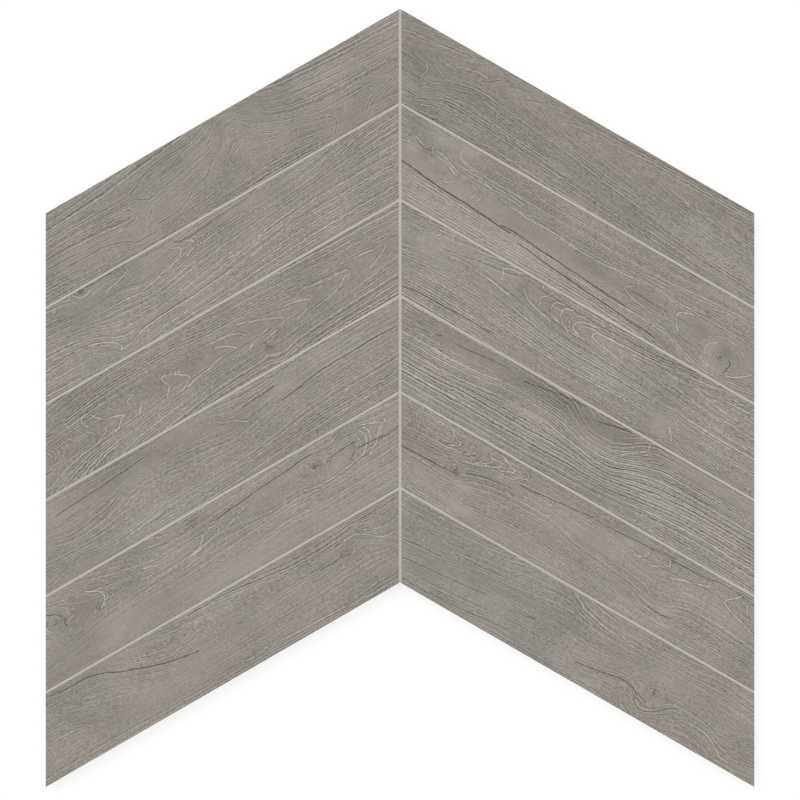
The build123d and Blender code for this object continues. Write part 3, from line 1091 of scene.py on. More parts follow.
# A row of pointed arcs at the upper left, a small knot, and a long crack along the top
PLANKS["tile_right_5"] = Plank(
    seed=11.0,
    flow=(
        ((-125, -20), (125, -20)),
        (
            (-125, -11), (-70, -13), (-50, -11.5), (-30, -10), (0, -12.5), (30, -13), (48, -14.5),
            (58, -15.5), (75, -13), (125, -14),
        ),
        (
            (-125, -3), (-85, -3), (-72, -2), (-60, 2), (-45, 4.5), (-20, 5), (0, 0), (20, -2),
            (40, -4.5), (48, -7.5), (56, -6), (65, -1.5), (80, 0), (125, -4),
        ),
        (
            (-125, 2), (-100, 4), (-85, 4.5), (-70, 7.5), (-45, 11), (-20, 12.8), (0, 12), (15, 11),
            (30, 7.5), (45, 6.8), (60, 8.3), (75, 9), (90, 7), (125, 2),
        ),
        ((-125, 20), (-60, 18), (0, 17.5), (50, 18.5), (125, 20)),
    ),
    fine=1.1,
    lines=(0.35, 0.5),
    knots=(Knot((-76, 1), 3.0, 0.6),),
    cracks=(
        Line(((-107, -2.2), (-95, -1.8), (-85, -1.2), (-75, -0.8))),
        Line(((-70, 1.5), (-66, 3.5), (-62, 5), (-55, 6.2), (-45, 7.2)), 0.05),
        Line(((-42, 11), (-35, 11.5), (-25, 12.8), (-15, 13.8), (-5, 15), (0, 15.3))),
        Line(((0, 15.3), (10, 15.1), (20, 15.8), (35, 17), (45, 18), (50, 18.2)), 0.05),
        Line(((48, 16.8), (60, 17.5), (70, 18), (80, 19.3), (85, 19.2), (93, 18.5)), 0.05),
        Line(((49, -10.5), (53, -11.2), (58, -11), (63, -10.2))),
        Line(((68, -9), (80, -9.7), (90, -10.5), (113, -12)), 0.15),
        Line(((73, -16), (77, -16.5)), 0.2),
        Line(((80, -19.5), (92, -19), (118, -20)), 0.15),
    ),
    dark=tuple(Arch((-92 + 4.4 * step, 13.8), 7, 5.5, 0.12) for step in range(12)),
    light=(
        Line(((-88, 20), (-85, 16.5), (-80, 13.5), (-81, 12.5), (-85, 10.5)), 0.05),
        Line(((-74, 16.5), (-70.5, 14.5), (-75, 11)), 0.1),
        Line(((-64, 17.5), (-61, 14.5), (-63, 12), (-68, 9.5)), 0.05),
        Line(((-62, 16), (-55.5, 14.8), (-60, 12), (-67, 9), (-75, 6.5))),
        Line(((-58, 20), (-52, 17.5), (-48, 15.5), (-52, 13.5), (-55, 12.5))),
        Line(((-42, 19), (-40, 16.5), (-42, 14.5), (-47, 13)), 0.1),
        Line(((36, 15), (35, 12), (33, 10.5), (29, 9.3)), 0.05),
        Line(((47, 17), (48.5, 14), (46, 11.5), (44, 10.5), (39, 8.5)), 0.05),
        Line(((52, 8.5), (62, 11.3), (70, 13.8), (73, 15))),
        Line(((71, 18), (72, 16)), 0.1),
        Line(((90, 19), (87, 15.5), (83.5, 12), (86, 10), (92, 8), (100, 5.5), (105, 4.5))),
        Line(((93, 18.5), (92, 15), (91.5, 12.5)), 0.1),
        Line(((95, 18), (95.5, 14), (98, 11)), 0.1),
        Line(((-67, -13.5), (-58, -12.5), (-50, -11.5), (-40, -10.5), (-25, -9.8)), 0.2),
        Line(((-78, 3.5), (-76, 1.5)), 0.05),
        Line(((-113, 20), (-112, 15), (-108, 10)), 0.2),
        Line(((-109, 20), (-108, 15), (-104, 11)), 0.15),
        Line(((-105, 20), (-104, 16), (-100, 12.5), (-94, 12)), 0.15),
    ),
    calm=(
        Patch((-32, -16), (30, 4), 0.8),
        Patch((10, 5), (25, 5), 0.8),
        Patch((-20, -3), (35, 5), 0.4),
        Patch((25, 14), (10, 2.5), 0.8),
        Patch((-66, -5), (7, 3), 1.0),
        Patch((-63, -16), (8, 3.5), 1.0),
        Patch((58, -8.8), (6, 2.5), 0.9),
    ),
    bold=(Patch((75, 0), (40, 8), 0.5), Patch((-60, -10), (50, 6), 0.3)),
    shades=(
        Patch((24, 14), (3, 1.6), 0.13),
        Patch((-67, -5), (5, 1.8), 0.12),
        Patch((-63, -16), (5, 2), 0.11),
        Patch((-68, -20), (5, 1.5), 0.08),
        Patch((58, -8.8), (4, 1.6), 0.1),
        Patch((-95, 6), (28, 10), -0.065),
        Patch((-20, 6), (30, 6), 0.04),
        Patch((25, 17), (22, 5), -0.05),
        Patch((75, 2), (40, 8), 0.05),
        Patch((0, -15), (130, 7), 0.05),
        Patch((-74, -0.5), (1.5, 1.5), -0.2),
    ),
    tints=(Patch((0, 0), (150, 60), 0.25),),
)

# A knot like an eye at the lower right, with lines that sweep under it
PLANKS["tile_right_6"] = Plank(
    seed=12.0,
    flow=(
        (
            (-125, -22), (-97, -20.5), (0, -19.8), (25, -18.5), (38, -19.5), (46, -23), (58, -20.5),
            (75, -18), (100, -21), (125, -19),
        ),
        (
            (-125, -18), (-70, -18.2), (-45, -15.8), (0, -12), (20, -9), (33, -7.2), (41, -12),
            (48, -15.5), (56, -12), (64, -8.5), (80, -9.3), (88, -11), (97, -16), (125, -13),
        ),
        (
            (-125, -10), (-92, -8), (-54, -4.3), (0, -3), (36, 0.5), (50, 1.7), (72, 2.3), (90, 0),
            (125, -2),
        ),
        ((-125, -1.5), (-85, 1.7), (-60, 6), (-40, 8), (-12, 11), (0, 9), (20, 8), (60, 9), (125, 8)),
        (
            (-125, 12), (-75, 14.5), (-55, 17), (-40, 20), (-14, 20.3), (-5, 15.5), (15, 12), (35, 12),
            (60, 13), (82, 15), (100, 13.5), (125, 12),
        ),
    ),
    fine=0.95,
    lines=(0.6, 0.6),
    knots=(Knot((50, -5), 4.0, 0.5),),
    cracks=(
        Line(((-102, -8.7), (-94, -8.3)), 0.1),
        Line(((-92, -8), (-80, -7), (-70, -6), (-60, -5), (-54, -4.3)), 0.1),
        Line(((49.3, -3), (49.3, -4.5), (49.7, -6.5))),
        Line((
            (-97, -18.5), (-85, -18.7), (-75, -18.3), (-65, -18), (-55, -17), (-45, -15.7), (-35, -15),
        ), 0.07),
        Line(((-33, -14.8), (-20, -13.8), (-5, -12.5)), 0.2),
        Line(((5, -11.5), (15, -10), (25, -8), (33, -7), (36, -7.5), (42, -9.5), (48, -11))),
        Line(((-29, -3), (-25, -2.3))),
        Line(((105, -10), (115, -10.5)), 0.15),
        Line(((42, 1.3), (52, 1.7), (60, 1.3)), 0.25),
        Line(((63, 2.3), (72, 2.3)), 0.2),
    ),
    dark=(
        Line((
            (41.5, -13.2), (44, -15), (47.5, -16), (52, -14.8), (57, -11.3), (61, -7.8), (64, -6),
        ), -0.06),
        Line(((46.3, -3.7), (49, -2.9), (51.5, -3), (54, -3.9)), 0.06),
        Line(((40, -11.8), (45, -12.3), (48.5, -13.3), (52, -12.5), (55, -10.5))),
        Line(((36, -11), (44, -12.5), (48, -13)), 0.1),
        Line(((-107, -0.5), (-95, 0.8), (-85, 1.5))),
        Line(((-80, 6.3), (-70, 7), (-60, 8), (-50, 9)), 0.05),
        Line(((-75, 14.5), (-60, 16), (-50, 17.5), (-40, 20)), 0.05),
        Line(((67, -6), (80, -6.5), (95, -7.5), (108, -8.3)), 0.1),
    ),
    light=(
        Line(((-14, 20.3), (-9, 18), (-5, 15.5), (2, 14), (10, 12.5), (18, 11.5))),
        Line(((-9.5, 15.5), (-7, 13), (-3, 11.5), (3, 10)), 0.05),
        Line(((-12, 11), (-7, 10), (-2, 8.8)), 0.05),
        Line(((0, 20.5), (10, 18.5), (18, 17)), 0.15),
        Line(((20, 13), (27, 11), (33, 11)), 0.1),
        Line(((-82, 0), (-77, 1), (-72, 2)), 0.15),
        Line(((65, -10), (80, -9.5), (88, -11.5), (92, -14), (97, -17), (102, -17.5)), 0.05),
        Line(((88, -10), (95, -12.5), (100, -14), (107, -14.5)), 0.1),
        Line(((0, -17.5), (15, -16.5), (30, -16)), 0.1),
        Line(((0, -19.5), (20, -18.5), (37, -19), (42, -21)), 0.1),
        Line(((83, 15), (90, 14.5), (100, 13.5)), 0.1),
        Line(((45.5, -4.5), (47, -1.5), (51, 0.5), (55, -0.3), (58.5, -2.8)), 0.2),
    ),
    calm=(Patch((-70, -2), (50, 12), 0.65), Patch((50, -4), (8, 5), 0.6), Patch((60, 5), (40, 4), 0.4)),
    bold=(Patch((40, -18), (60, 4), 0.5),),
    shades=(
        Patch((-70, 0), (55, 16), -0.04),
        Patch((-93, -11.5), (8, 2.5), -0.06),
        Patch((-77, -16), (6, 2), -0.06),
        Patch((47, -3), (4, 2.5), -0.06),
        Patch((57, -4), (3, 2.5), -0.06),
        Patch((35, 15), (30, 6), 0.035),
        Patch((85, -14), (35, 10), 0.04),
    ),
    tints=(
        Patch((-70, 0), (60, 20), -0.6),
        Patch((50, -4), (9, 4), -0.6),
        Patch((60, 0), (60, 20), 0.3),
    ),
)


# Node trees

class Wiring:
    """Adds nodes to a tree. What isn't a socket is set as the value of the socket it is given to."""

    def __init__(self, tree):
        self.tree = tree

    def give(self, socket, value):
        if isinstance(value, bpy.types.NodeSocket):
            self.tree.links.new(value, socket)
        else:
            socket.default_value = value

    def node(self, kind, values=None, **settings):
        node = self.tree.nodes.new(kind)
        for name, setting in settings.items():
            setattr(node, name, setting)
        for name, value in (values or {}).items():
            self.give(node.inputs[name], value)
        return node

    def group(self, tree, **values):
        """Place a group. Its inputs are named as its sockets are, in small letters."""
        node = self.node("ShaderNodeGroup", node_tree=tree)
        for name, value in values.items():
            self.give(node.inputs[name.title()], value)
        return node.outputs

    def math(self, operation, *values):
        node = self.node("ShaderNodeMath", operation=operation)
        for socket, value in zip(node.inputs, values):
            self.give(socket, value)
        return node.outputs["Value"]

    def total(self, *values):
        result = values[0]
        for value in values[1:]:
            result = self.math("ADD", result, value)
        return result

    def minus(self, first, second):
        return self.math("SUBTRACT", first, second)

    def times(self, first, second):
        return self.math("MULTIPLY", first, second)

    def over(self, first, second):
        return self.math("DIVIDE", first, second)

    def most(self, first, second):
        return self.math("MAXIMUM", first, second)

    def least(self, first, second):
        return self.math("MINIMUM", first, second)

    def within(self, value, low, high):
        return self.least(self.most(value, low), high)

    def absolute(self, value):
        return self.math("ABSOLUTE", value)

    def square(self, x, y):
        """The square of how far off a point with these coordinates is."""
        return self.math("MULTIPLY_ADD", x, x, self.times(y, y))

    def away(self, x, y):
        """How far off a point with these coordinates is."""
        return self.math("SQRT", self.square(x, y))

    def mix(self, factor, first, second):
        return self.total(first, self.times(factor, self.minus(second, first)))

    def fade(self, value, start, end):
        """0 at the start and 1 at the end, smoothly, whichever of them is larger."""
        values = {"Value": value, "From Min": start, "From Max": end}
        node = self.node("ShaderNodeMapRange", values, interpolation_type="SMOOTHSTEP")
        return node.outputs["Result"]

    def vector(self, operation, *values):
        node = self.node("ShaderNodeVectorMath", operation=operation)
        for socket, value in zip(node.inputs, values):
            self.give(socket, value)
        return node.outputs["Value" if operation == "DOT_PRODUCT" else "Vector"]

    def scaled(self, point, scale):
        values = {"Vector": point, "Scale": scale}
        return self.node("ShaderNodeVectorMath", values, operation="SCALE").outputs["Vector"]

    def split(self, point):
        return self.node("ShaderNodeSeparateXYZ", {"Vector": point}).outputs

    def join(self, x, y, z):
        return self.node("ShaderNodeCombineXYZ", {"X": x, "Y": y, "Z": z}).outputs["Vector"]

    def noise(self, point, detail=2.0, roughness=0.5, output="Fac"):
        values = {"Vector": point, "Scale": 1.0, "Detail": detail, "Roughness": roughness}
        return self.node("ShaderNodeTexNoise", values).outputs[output]

    def stretched(self, u, v, seed, kind):
        """One of the noises of the print."""
        depth = self.total(seed, kind.shift)
        place = self.join(self.times(u, kind.along), self.times(v, kind.across), depth)
        return self.noise(place, kind.detail, kind.roughness)

    def swing(self, u, v, seed, kind):
        """One of the noises of the print, about zero and as strong as it says."""
        return self.times(self.minus(self.stretched(u, v, seed, kind), 0.5), kind.swing)

    def height(self, place, points):
        """How high a smooth line through these points is at a place along it."""
        first = points[0][0]
        span = points[-1][0] - first
        node = self.node("ShaderNodeFloatCurve")
        curve = node.mapping.curves[0]
        spots = [((along - first) / span, across / (2 * CURVE_REACH) + 0.5) for along, across in points]
        curve.points[0].location = spots[0]
        curve.points[-1].location = spots[-1]
        for spot in spots[1:-1]:
            curve.points.new(*spot)
        for spot in curve.points:
            spot.handle_type = "AUTO_CLAMPED"
        node.mapping.update()
        self.give(node.inputs["Value"], self.math("MULTIPLY_ADD", place, 1 / span, -first / span))
        return self.math("MULTIPLY_ADD", node.outputs["Value"], 2 * CURVE_REACH, -CURVE_REACH)

    def blend(self, factor, first, second, way="MIX"):
        node = self.node("ShaderNodeMix", data_type="RGBA", blend_type=way)
        self.give(node.inputs["Factor"], factor)
        for socket, colour in zip(node.inputs[6:8], (first, second)):
            self.give(socket, colour)
        return node.outputs[2]


VECTORS = {"Point", "Middle", "At", "Spread", "Origin", "Chord", "Side", "Apex"}


def make_group(name, inputs, outputs, wire):
    """A shader node group: wire takes its wiring and inputs, and gives a socket for each output."""
    tree = bpy.data.node_groups.new(name, "ShaderNodeTree")
    for way, labels in (("INPUT", inputs), ("OUTPUT", outputs)):
        for label in labels.split():
            kind = "NodeSocketVector" if label in VECTORS else "NodeSocketFloat"
            tree.interface.new_socket(label, in_out=way, socket_type=kind)
    given = tree.nodes.new("NodeGroupInput").outputs
    wiring = Wiring(tree)
    results = wire(wiring, given)
    end = tree.nodes.new("NodeGroupOutput")
    for label, result in results.items():
        wiring.give(end.inputs[label], result)
    return tree


def wire_plank_axes(w, given):
    """A plank's own axes in millimetres, and how far off the sheet's centre joint a point is."""
    spot = w.node("ShaderNodeTexCoord").outputs["Object"]
    from_middle = w.vector("SUBTRACT", spot, given["Middle"])
    values = {"Vector": from_middle, "Angle": w.times(given["Slope"], -1)}
    turned = w.node("ShaderNodeVectorRotate", values, rotation_type="Z_AXIS").outputs["Vector"]
    aside = w.times(w.split(spot)[0], MILLIMETRES)
    return {"Point": w.scaled(turned, MILLIMETRES), "Centre": w.absolute(aside)}


def wire_wobble(w, given):
    """Moves points about a little, so that what is drawn there has an uneven hand."""
    place = w.vector("ADD", given["Point"], w.join(0, 0, given["Seed"]))
    result = given["Point"]
    for length, swing in ((WOBBLE_LENGTH, 1.0), (JAG_LENGTH, given["Jag"])):
        noise = w.noise(w.scaled(place, 1 / length), 1.0, output="Color")
        shift = w.scaled(w.vector("SUBTRACT", noise, (0.5, 0.5, 0.5)), swing)
        result = w.vector("ADD", result, shift)
    return {"Point": w.vector("MULTIPLY", result, (1, 1, 0))}


def wire_heart(w, given):
    """Rings of a trunk around an axis that lies deeper in the plank towards one end."""
    depth = w.math("MULTIPLY_ADD", given["Taper"], given["Along"], given["Depth"])
    across = w.minus(given["Across"], given["Axis"])
    ring = w.away(across, depth)
    return {"Ring": ring, "Steep": w.over(w.absolute(across), ring)}


def wire_swell(w, given):
    """Adds a soft oval place to a value."""
    from_middle = w.vector("SUBTRACT", given["Point"], given["At"])
    u, v, _ = w.split(w.vector("DIVIDE", from_middle, given["Spread"]))
    bump = w.math("EXPONENT", w.times(w.square(u, v), -1))
    return {"Value": w.math("MULTIPLY_ADD", bump, given["Amount"], given["Value"])}


def wire_knot(w, given):
    """Rings of its own inside a knot, and the plank's rings pushed aside around it."""
    u, v, _ = w.split(w.vector("SUBTRACT", given["Point"], given["At"]))
    size = given["Size"]
    square = w.square(w.over(u, KNOT_LENGTH), v)
    away = w.math("SQRT", square)
    size_square = w.times(size, size)
    push = w.over(size_square, w.math("MULTIPLY_ADD", size_square, KNOT_PUSH, square))
    flowed = w.minus(given["Ring"], w.times(v, push))

    def mask(scale, edge):
        return w.fade(away, w.times(scale, edge[0]), w.times(scale, edge[1]))

    inside = mask(size, KNOT_RIM)
    # The seam is full where the inside is half there
    seam = w.times(w.times(inside, w.minus(1.0, inside)), 4.0)
    return {
        "Ring": w.mix(inside, flowed, w.times(away, KNOT_RINGS)),
        "Core": w.most(given["Core"], mask(given["Heart"], KNOT_CORE)),
        "Halo": w.most(given["Halo"], mask(size, KNOT_HALO)),
        "Seam": w.most(given["Seam"], seam),
    }


def wire_line(w, given):
    """One stretch of a drawn line: a cubic over its chord, with the slopes it leaves and arrives at."""
    from_start = w.vector("SUBTRACT", given["Point"], given["Origin"])
    share = w.vector("DOT_PRODUCT", from_start, given["Chord"])
    aside = w.vector("DOT_PRODUCT", from_start, given["Side"])
    held = w.within(share, 0.0, 1.0)
    left = w.minus(1.0, held)
    lean = w.minus(w.times(given["Leave"], left), w.times(given["Arrive"], held))
    bow = w.times(lean, w.times(held, left))
    off = w.away(w.minus(aside, bow), w.minus(share, held))
    near = w.math("MULTIPLY_ADD", off, given["Length"], given["Faint"])
    return {"Nearest": w.least(given["Nearest"], near)}


def wire_course(w, given):
    """A drawn line that never turns back, from its height at a place and a little further along."""
    slope = w.over(w.minus(given["Ahead"], given["Height"]), LOOK_AHEAD)
    off = w.over(w.minus(given["Across"], given["Height"]), w.away(slope, 1.0))
    before = w.minus(given["Start"], given["Along"])
    after = w.minus(given["Along"], given["End"])
    past = w.most(w.most(before, after), 0.0)
    near = w.total(w.away(off, past), given["Faint"])
    return {"Nearest": w.least(given["Nearest"], near)}


def wire_arch(w, given):
    """A pointed curve: round at its apex, with arms that straighten out."""
    u, v, _ = w.split(w.vector("SUBTRACT", given["Point"], given["Apex"]))
    share = w.over(v, given["Half"])
    wide = w.times(share, ARCH_POINT)
    root = w.away(wide, 1.0)
    span = (1 + ARCH_POINT**2) ** 0.5 - 1
    back = w.times(given["Reach"], w.over(w.minus(root, 1.0), span))
    rise = w.over(w.times(wide, ARCH_POINT / span), root)
    slope = w.over(w.times(given["Reach"], rise), given["Half"])
    off = w.over(w.absolute(w.total(u, back)), w.away(slope, 1.0))
    past = w.times(w.most(w.minus(w.absolute(share), 1.0), 0.0), given["Half"])
    fainter = w.times(w.times(share, share), ARCH_FADE)
    near = w.total(off, past, given["Faint"], fainter)
    return {"Nearest": w.least(given["Nearest"], near)}


def wire_wander(w, given):
    """Lets the rings wander, in long sweeps and in small ones."""
    u, v, _ = w.split(given["Point"])
    shifts = [w.swing(u, v, given["Seed"], kind) for kind in WANDERS]
    return {"Ring": w.total(given["Ring"], *shifts)}


def wire_echo(w, given):
    """Fine lines beside a drawn one. They follow it around its turns and die out further off."""
    u, v, _ = w.split(given["Point"])
    noise = w.stretched(u, v, given["Seed"], ECHO_BREAKS)
    jitter = w.mix(noise, -1.0, 1.0)
    turn = w.math("MULTIPLY_ADD", given["Nearest"], 2 * pi / ECHO_PITCH, jitter)
    held = w.fade(given["Nearest"], given["Reach"], w.times(given["Reach"], ECHO_FULL))
    strength = w.times(w.times(held, w.fade(noise, *ECHO_EDGE)), ECHO_TONE)
    return {"Tone": w.times(w.math("COSINE", turn), strength), "Calm": w.times(held, ECHO_CALM)}


def nearest_rule(w, ring, seed, pitch, uneven, shift):
    """Lines that follow the rings: how far off the nearest is, in pitches, and its own chance."""
    start = w.math("MULTIPLY_ADD", seed, SEED_STEP, shift)
    place = w.math("MULTIPLY_ADD", ring, 1 / pitch, start)
    values = {"W": place, "Scale": 1.0, "Randomness": uneven}
    nearest = w.node("ShaderNodeTexVoronoi", values, voronoi_dimensions="1D").outputs
    chance = w.node("ShaderNodeSeparateColor", {"Color": nearest["Color"]}).outputs["Red"]
    return w.minus(place, nearest["W"]), chance


def bold_lines(w, given):
    """Bold lines, dark or light by chance, each with a weaker one of the other tone beside it."""
    off, chance = nearest_rule(w, given["Ring"], given["Seed"], BOLD_PITCH, BOLD_UNEVEN, BOLD_SHIFT)
    off = w.over(w.times(off, BOLD_PITCH), given["Density"])
    line = w.fade(w.absolute(off), BOLD_HALF_WIDTH, 0.0)
    beside = w.fade(w.absolute(w.total(off, BESIDE_OFFSET)), BOLD_HALF_WIDTH, 0.0)
    strength = w.mix(chance, given["Light"], w.times(given["Dark"], -1))
    return w.times(strength, w.math("MULTIPLY_ADD", beside, BESIDE_SHARE, line))


def ridges(w, given, scale):
    """Fine ridges about zero, each of its own strength."""
    ring = w.times(given["Ring"], scale)
    off, chance = nearest_rule(w, ring, given["Seed"], RIDGE_PITCH, RIDGE_UNEVEN, RIDGE_SHIFT)
    ridge = w.minus(0.5, w.fade(w.absolute(off), *RIDGE_EDGE))
    return w.times(ridge, w.mix(chance, *RIDGE_STRENGTH))


def forking_ridges(w, given):
    """Fine ridges that fork where the rings spread, so that they stay about as close as elsewhere."""
    doublings = w.times(w.math("LOGARITHM", given["Density"], 2.0), -1)
    whole = w.math("FLOOR", doublings)
    scale = w.math("POWER", 2.0, whole)
    forked = w.fade(w.minus(doublings, whole), *FORK_EDGE)
    return w.mix(forked, ridges(w, given, scale), ridges(w, given, w.times(scale, 2.0)))


def wire_grain(w, given):
    """What the grain adds to the tone of the print, and how warm the print is."""
    u, v, _ = w.split(given["Point"])
    ring = given["Ring"]
    seed = given["Seed"]
    calm = given["Calm"]
    zones = w.fade(w.stretched(u, ring, seed, ZONES), *ZONE_EDGE)
    dashes = w.fade(w.stretched(u, ring, seed, DASHES), *DASH_EDGE)
    bold = w.times(bold_lines(w, given), w.times(zones, given["Bold"]))
    fine = w.times(forking_ridges(w, given), w.times(dashes, given["Fine"]))
    ruled = w.math("MULTIPLY_ADD", bold, BOLD_TONE, w.times(fine, RIDGE_TONE))
    specks = w.noise(w.scaled(given["Point"], SPECKS_PER_MILLIMETRE), 0.0)
    fibres = w.total(w.swing(u, ring, seed, FIBRES), w.times(w.minus(specks, 0.5), SPECK_SWING))
    tone = w.total(
        w.swing(u, ring, seed, STREAKS),
        w.swing(u, v, seed, CLOUDS),
        w.times(w.swing(u, v, seed, BLOTCHES), calm),
        w.times(fibres, w.mix(calm, 1.0, CALM_FIBRES)),
        w.times(ruled, w.mix(calm, 1.0, CALM_LINES)),
    )
    warm = w.fade(w.stretched(u, v, seed, WARMTH), *WARM_EDGE)
    warmth = w.total(warm, given["Tint"], w.times(calm, CALM_WARMTH))
    return {"Tone": tone, "Warmth": w.within(warmth, COOLEST, WARMEST)}


def wire_marks(w, given):
    """The drawn lines: dark cracks, thin dark lines and pale limed lines, all a little broken."""
    u, v, _ = w.split(given["Point"])
    broken = w.swing(u, v, given["Seed"], MARK_BREAKS)
    crack = w.fade(w.math("MULTIPLY_ADD", broken, CRACK_BREAKS, given["Crack"]), *CRACK_EDGE)
    dark = w.fade(w.total(given["Dark"], broken), *DARK_EDGE)
    light = w.fade(w.math("MULTIPLY_ADD", broken, LIGHT_BREAKS, given["Light"]), *LIGHT_EDGE)
    rim = w.minus(w.fade(given["Light"], *RIM_EDGE), w.fade(given["Dark"], *RIM_EDGE))
    tone = w.total(
        w.times(crack, CRACK_TONE),
        w.times(w.times(dark, given["Ink"]), DARK_TONE),
        w.times(light, LIGHT_TONE),
        w.times(rim, RIM_TONE),
    )
    return {"Tone": tone}


def wire_relief(w, given):
    """The pressed relief of the face, which runs along the plank whatever the print does."""
    u, v, _ = w.split(given["Point"])
    return {"Height": w.stretched(u, v, given["Seed"], RELIEF)}


def tile_groups():
    """The node groups that the tiles' materials share."""
    return {
        "axes": make_group("Plank axes", "Middle Slope", "Point Centre", wire_plank_axes),
        "wobble": make_group("Wobble", "Point Seed Jag", "Point", wire_wobble),
        "heart": make_group("Heart rings", "Along Across Axis Depth Taper", "Ring Steep", wire_heart),
        "swell": make_group("Swell", "Point At Spread Amount Value", "Value", wire_swell),
        "knot": make_group(
            "Knot",
            "Point At Size Heart Ring Core Halo Seam",
            "Ring Core Halo Seam",
            wire_knot,
        ),
        "line": make_group(
            "Drawn line",
            "Point Origin Chord Side Length Leave Arrive Faint Nearest",
            "Nearest",
            wire_line,
        ),
        "course": make_group(
            "Drawn course",
            "Along Across Height Ahead Start End Faint Nearest",
            "Nearest",
            wire_course,
        ),
        "arch": make_group("Drawn arch", "Point Apex Reach Half Faint Nearest", "Nearest", wire_arch),
        "wander": make_group("Grain wander", "Point Ring Seed", "Ring", wire_wander),
        "echo": make_group("Grain echo", "Point Seed Nearest Reach", "Tone Calm", wire_echo),
        "grain": make_group(
            "Oak grain",
            "Point Ring Density Seed Dark Light Fine Bold Calm Tint",
            "Tone Warmth",
            wire_grain,
        ),
        "marks": make_group("Grain marks", "Point Seed Ink Crack Dark Light", "Tone", wire_marks),
        "relief": make_group("Relief", "Point Seed", "Height", wire_relief),
    }


# Drawing on a plank

def flat(pair):
    return (pair[0], pair[1], 0.0)


def stretches(points):
    """The stretches of a smooth line through these points: start, chord, and its two end slopes."""
    spots = [Vector(point) for point in points]
    headings = []
    for index in range(len(spots)):
        before = spots[max(index - 1, 0)]
        after = spots[min(index + 1, len(spots) - 1)]
        headings.append(after - before)
    for index, (start, end) in enumerate(zip(spots, spots[1:])):
        chord = end - start
        slopes = []
        for heading in headings[index:index + 2]:
            forward = max(heading.dot(chord), 1e-6)
            slope = chord.cross(heading) / forward
            slopes.append(max(-STEEPEST_STRETCH, min(STEEPEST_STRETCH, slope)))
        yield start, chord, slopes


def course_axis(points):
    """0 if a line can be drawn as heights along u, 1 if as heights along v, and None if as neither."""
    choices = []
    for axis in (0, 1):
        steps = []
        for start, end in zip(points, points[1:]):
            steps.append((end[axis] - start[axis], end[1 - axis] - start[1 - axis]))
        rising = steps[0][0] > 0
        if all(run and (run > 0) == rising for run, _ in steps):
            choices.append((max(abs(rise / run) for run, rise in steps), axis))
    if not choices:
        return None
    steepness, axis = min(choices)
    return axis if steepness < STEEPEST_COURSE else None


def draw_arch(w, tree, point, arch, nearest):
    """How near the nearest mark is once this arch is drawn too."""
    return w.group(
        tree, point=point, apex=flat(arch.apex), reach=arch.reach, half=arch.half, faint=arch.faint,
        nearest=nearest,
    )["Nearest"]


def draw_course(w, tree, along, across, spots, faint, nearest):
    """How near the nearest mark is once a line is drawn too, as heights along one axis."""
    return w.group(
        tree, along=along, across=across, height=w.height(along, spots),
        ahead=w.height(w.total(along, LOOK_AHEAD), spots), start=spots[0][0], end=spots[-1][0],
        faint=faint, nearest=nearest,
    )["Nearest"]


def draw_line(w, tree, point, line, nearest):
    """How near the nearest mark is once this line is drawn too, stretch by stretch."""
    for start, chord, (leave, arrive) in stretches(line.points):
        per_square = chord / chord.length_squared
        nearest = w.group(
            tree, point=point, origin=flat(start), chord=flat(per_square),
            side=(-per_square.y, per_square.x, 0.0), length=chord.length, leave=leave, arrive=arrive,
            faint=line.faint, nearest=nearest,
        )["Nearest"]
    return nearest


def draw(w, groups, point, marks):
    """How near a point of the face is to the nearest of these lines and arches, in millimetres."""
    nearest = FAR
    place = w.split(point)
    for mark in marks:
        if isinstance(mark, Arch):
            nearest = draw_arch(w, groups["arch"], point, mark, nearest)
            continue
        axis = course_axis(mark.points)
        if axis is None:
            nearest = draw_line(w, groups["line"], point, mark, nearest)
            continue
        along = place[axis]
        across = place[1 - axis]
        spots = sorted((spot[axis], spot[1 - axis]) for spot in mark.points)
        nearest = draw_course(w, groups["course"], along, across, spots, mark.faint, nearest)
    return nearest


def straighten(w, u, v, flow):
    """The height across the plank once the lines that the grain runs along are pulled straight.

    Also how much denser the lines get there than on a straight plank.
    """
    heights = [w.height(u, guide) for guide in flow]
    levels = [sum(spot[1] for spot in guide) / len(guide) for guide in flow]
    below = w.least(w.minus(v, heights[0]), 0.0)
    above = w.most(w.minus(v, heights[-1]), 0.0)
    result = w.total(below, above, levels[0])
    density = 1.0
    for index in range(len(flow) - 1):
        low, high = heights[index:index + 2]
        rise = levels[index + 1] - levels[index]
        values = {"Value": v, "From Min": low, "From Max": high, "To Min": 0.0, "To Max": rise}
        result = w.total(result, w.node("ShaderNodeMapRange", values).outputs["Result"])
        here = w.over(rise, w.most(w.minus(high, low), LEAST_GAP))
        density = w.mix(w.math("GREATER_THAN", v, low), density, here)
    density = w.mix(w.math("GREATER_THAN", v, heights[-1]), density, 1.0)
    return result, density


def gather(w, groups, point, patches, start=0.0):
    """A value all over the plank, with these patches added to it."""
    total = start
    for patch in patches:
        total = w.group(
            groups["swell"], point=point, at=flat(patch.at), spread=(*patch.spread, 1.0),
            amount=patch.amount, value=total,
        )["Value"]
    return total


def cut_rings(w, groups, plank, point):
    """Which ring each point of the plank shows, how dense the rings are there, and how steep."""
    u, v, _ = w.split(point)
    ring, density = straighten(w, u, v, plank.flow)
    steep = 1.0
    if plank.heart:
        axis, depth, taper = plank.heart
        rings = w.group(groups["heart"], along=u, across=ring, axis=axis, depth=depth, taper=taper)
        ring = rings["Ring"]
        steep = rings["Steep"]
        density = w.times(density, w.most(steep, LEAST_STEEP))
    ring = w.group(groups["wander"], point=point, ring=ring, seed=plank.seed)["Ring"]
    return ring, density, steep


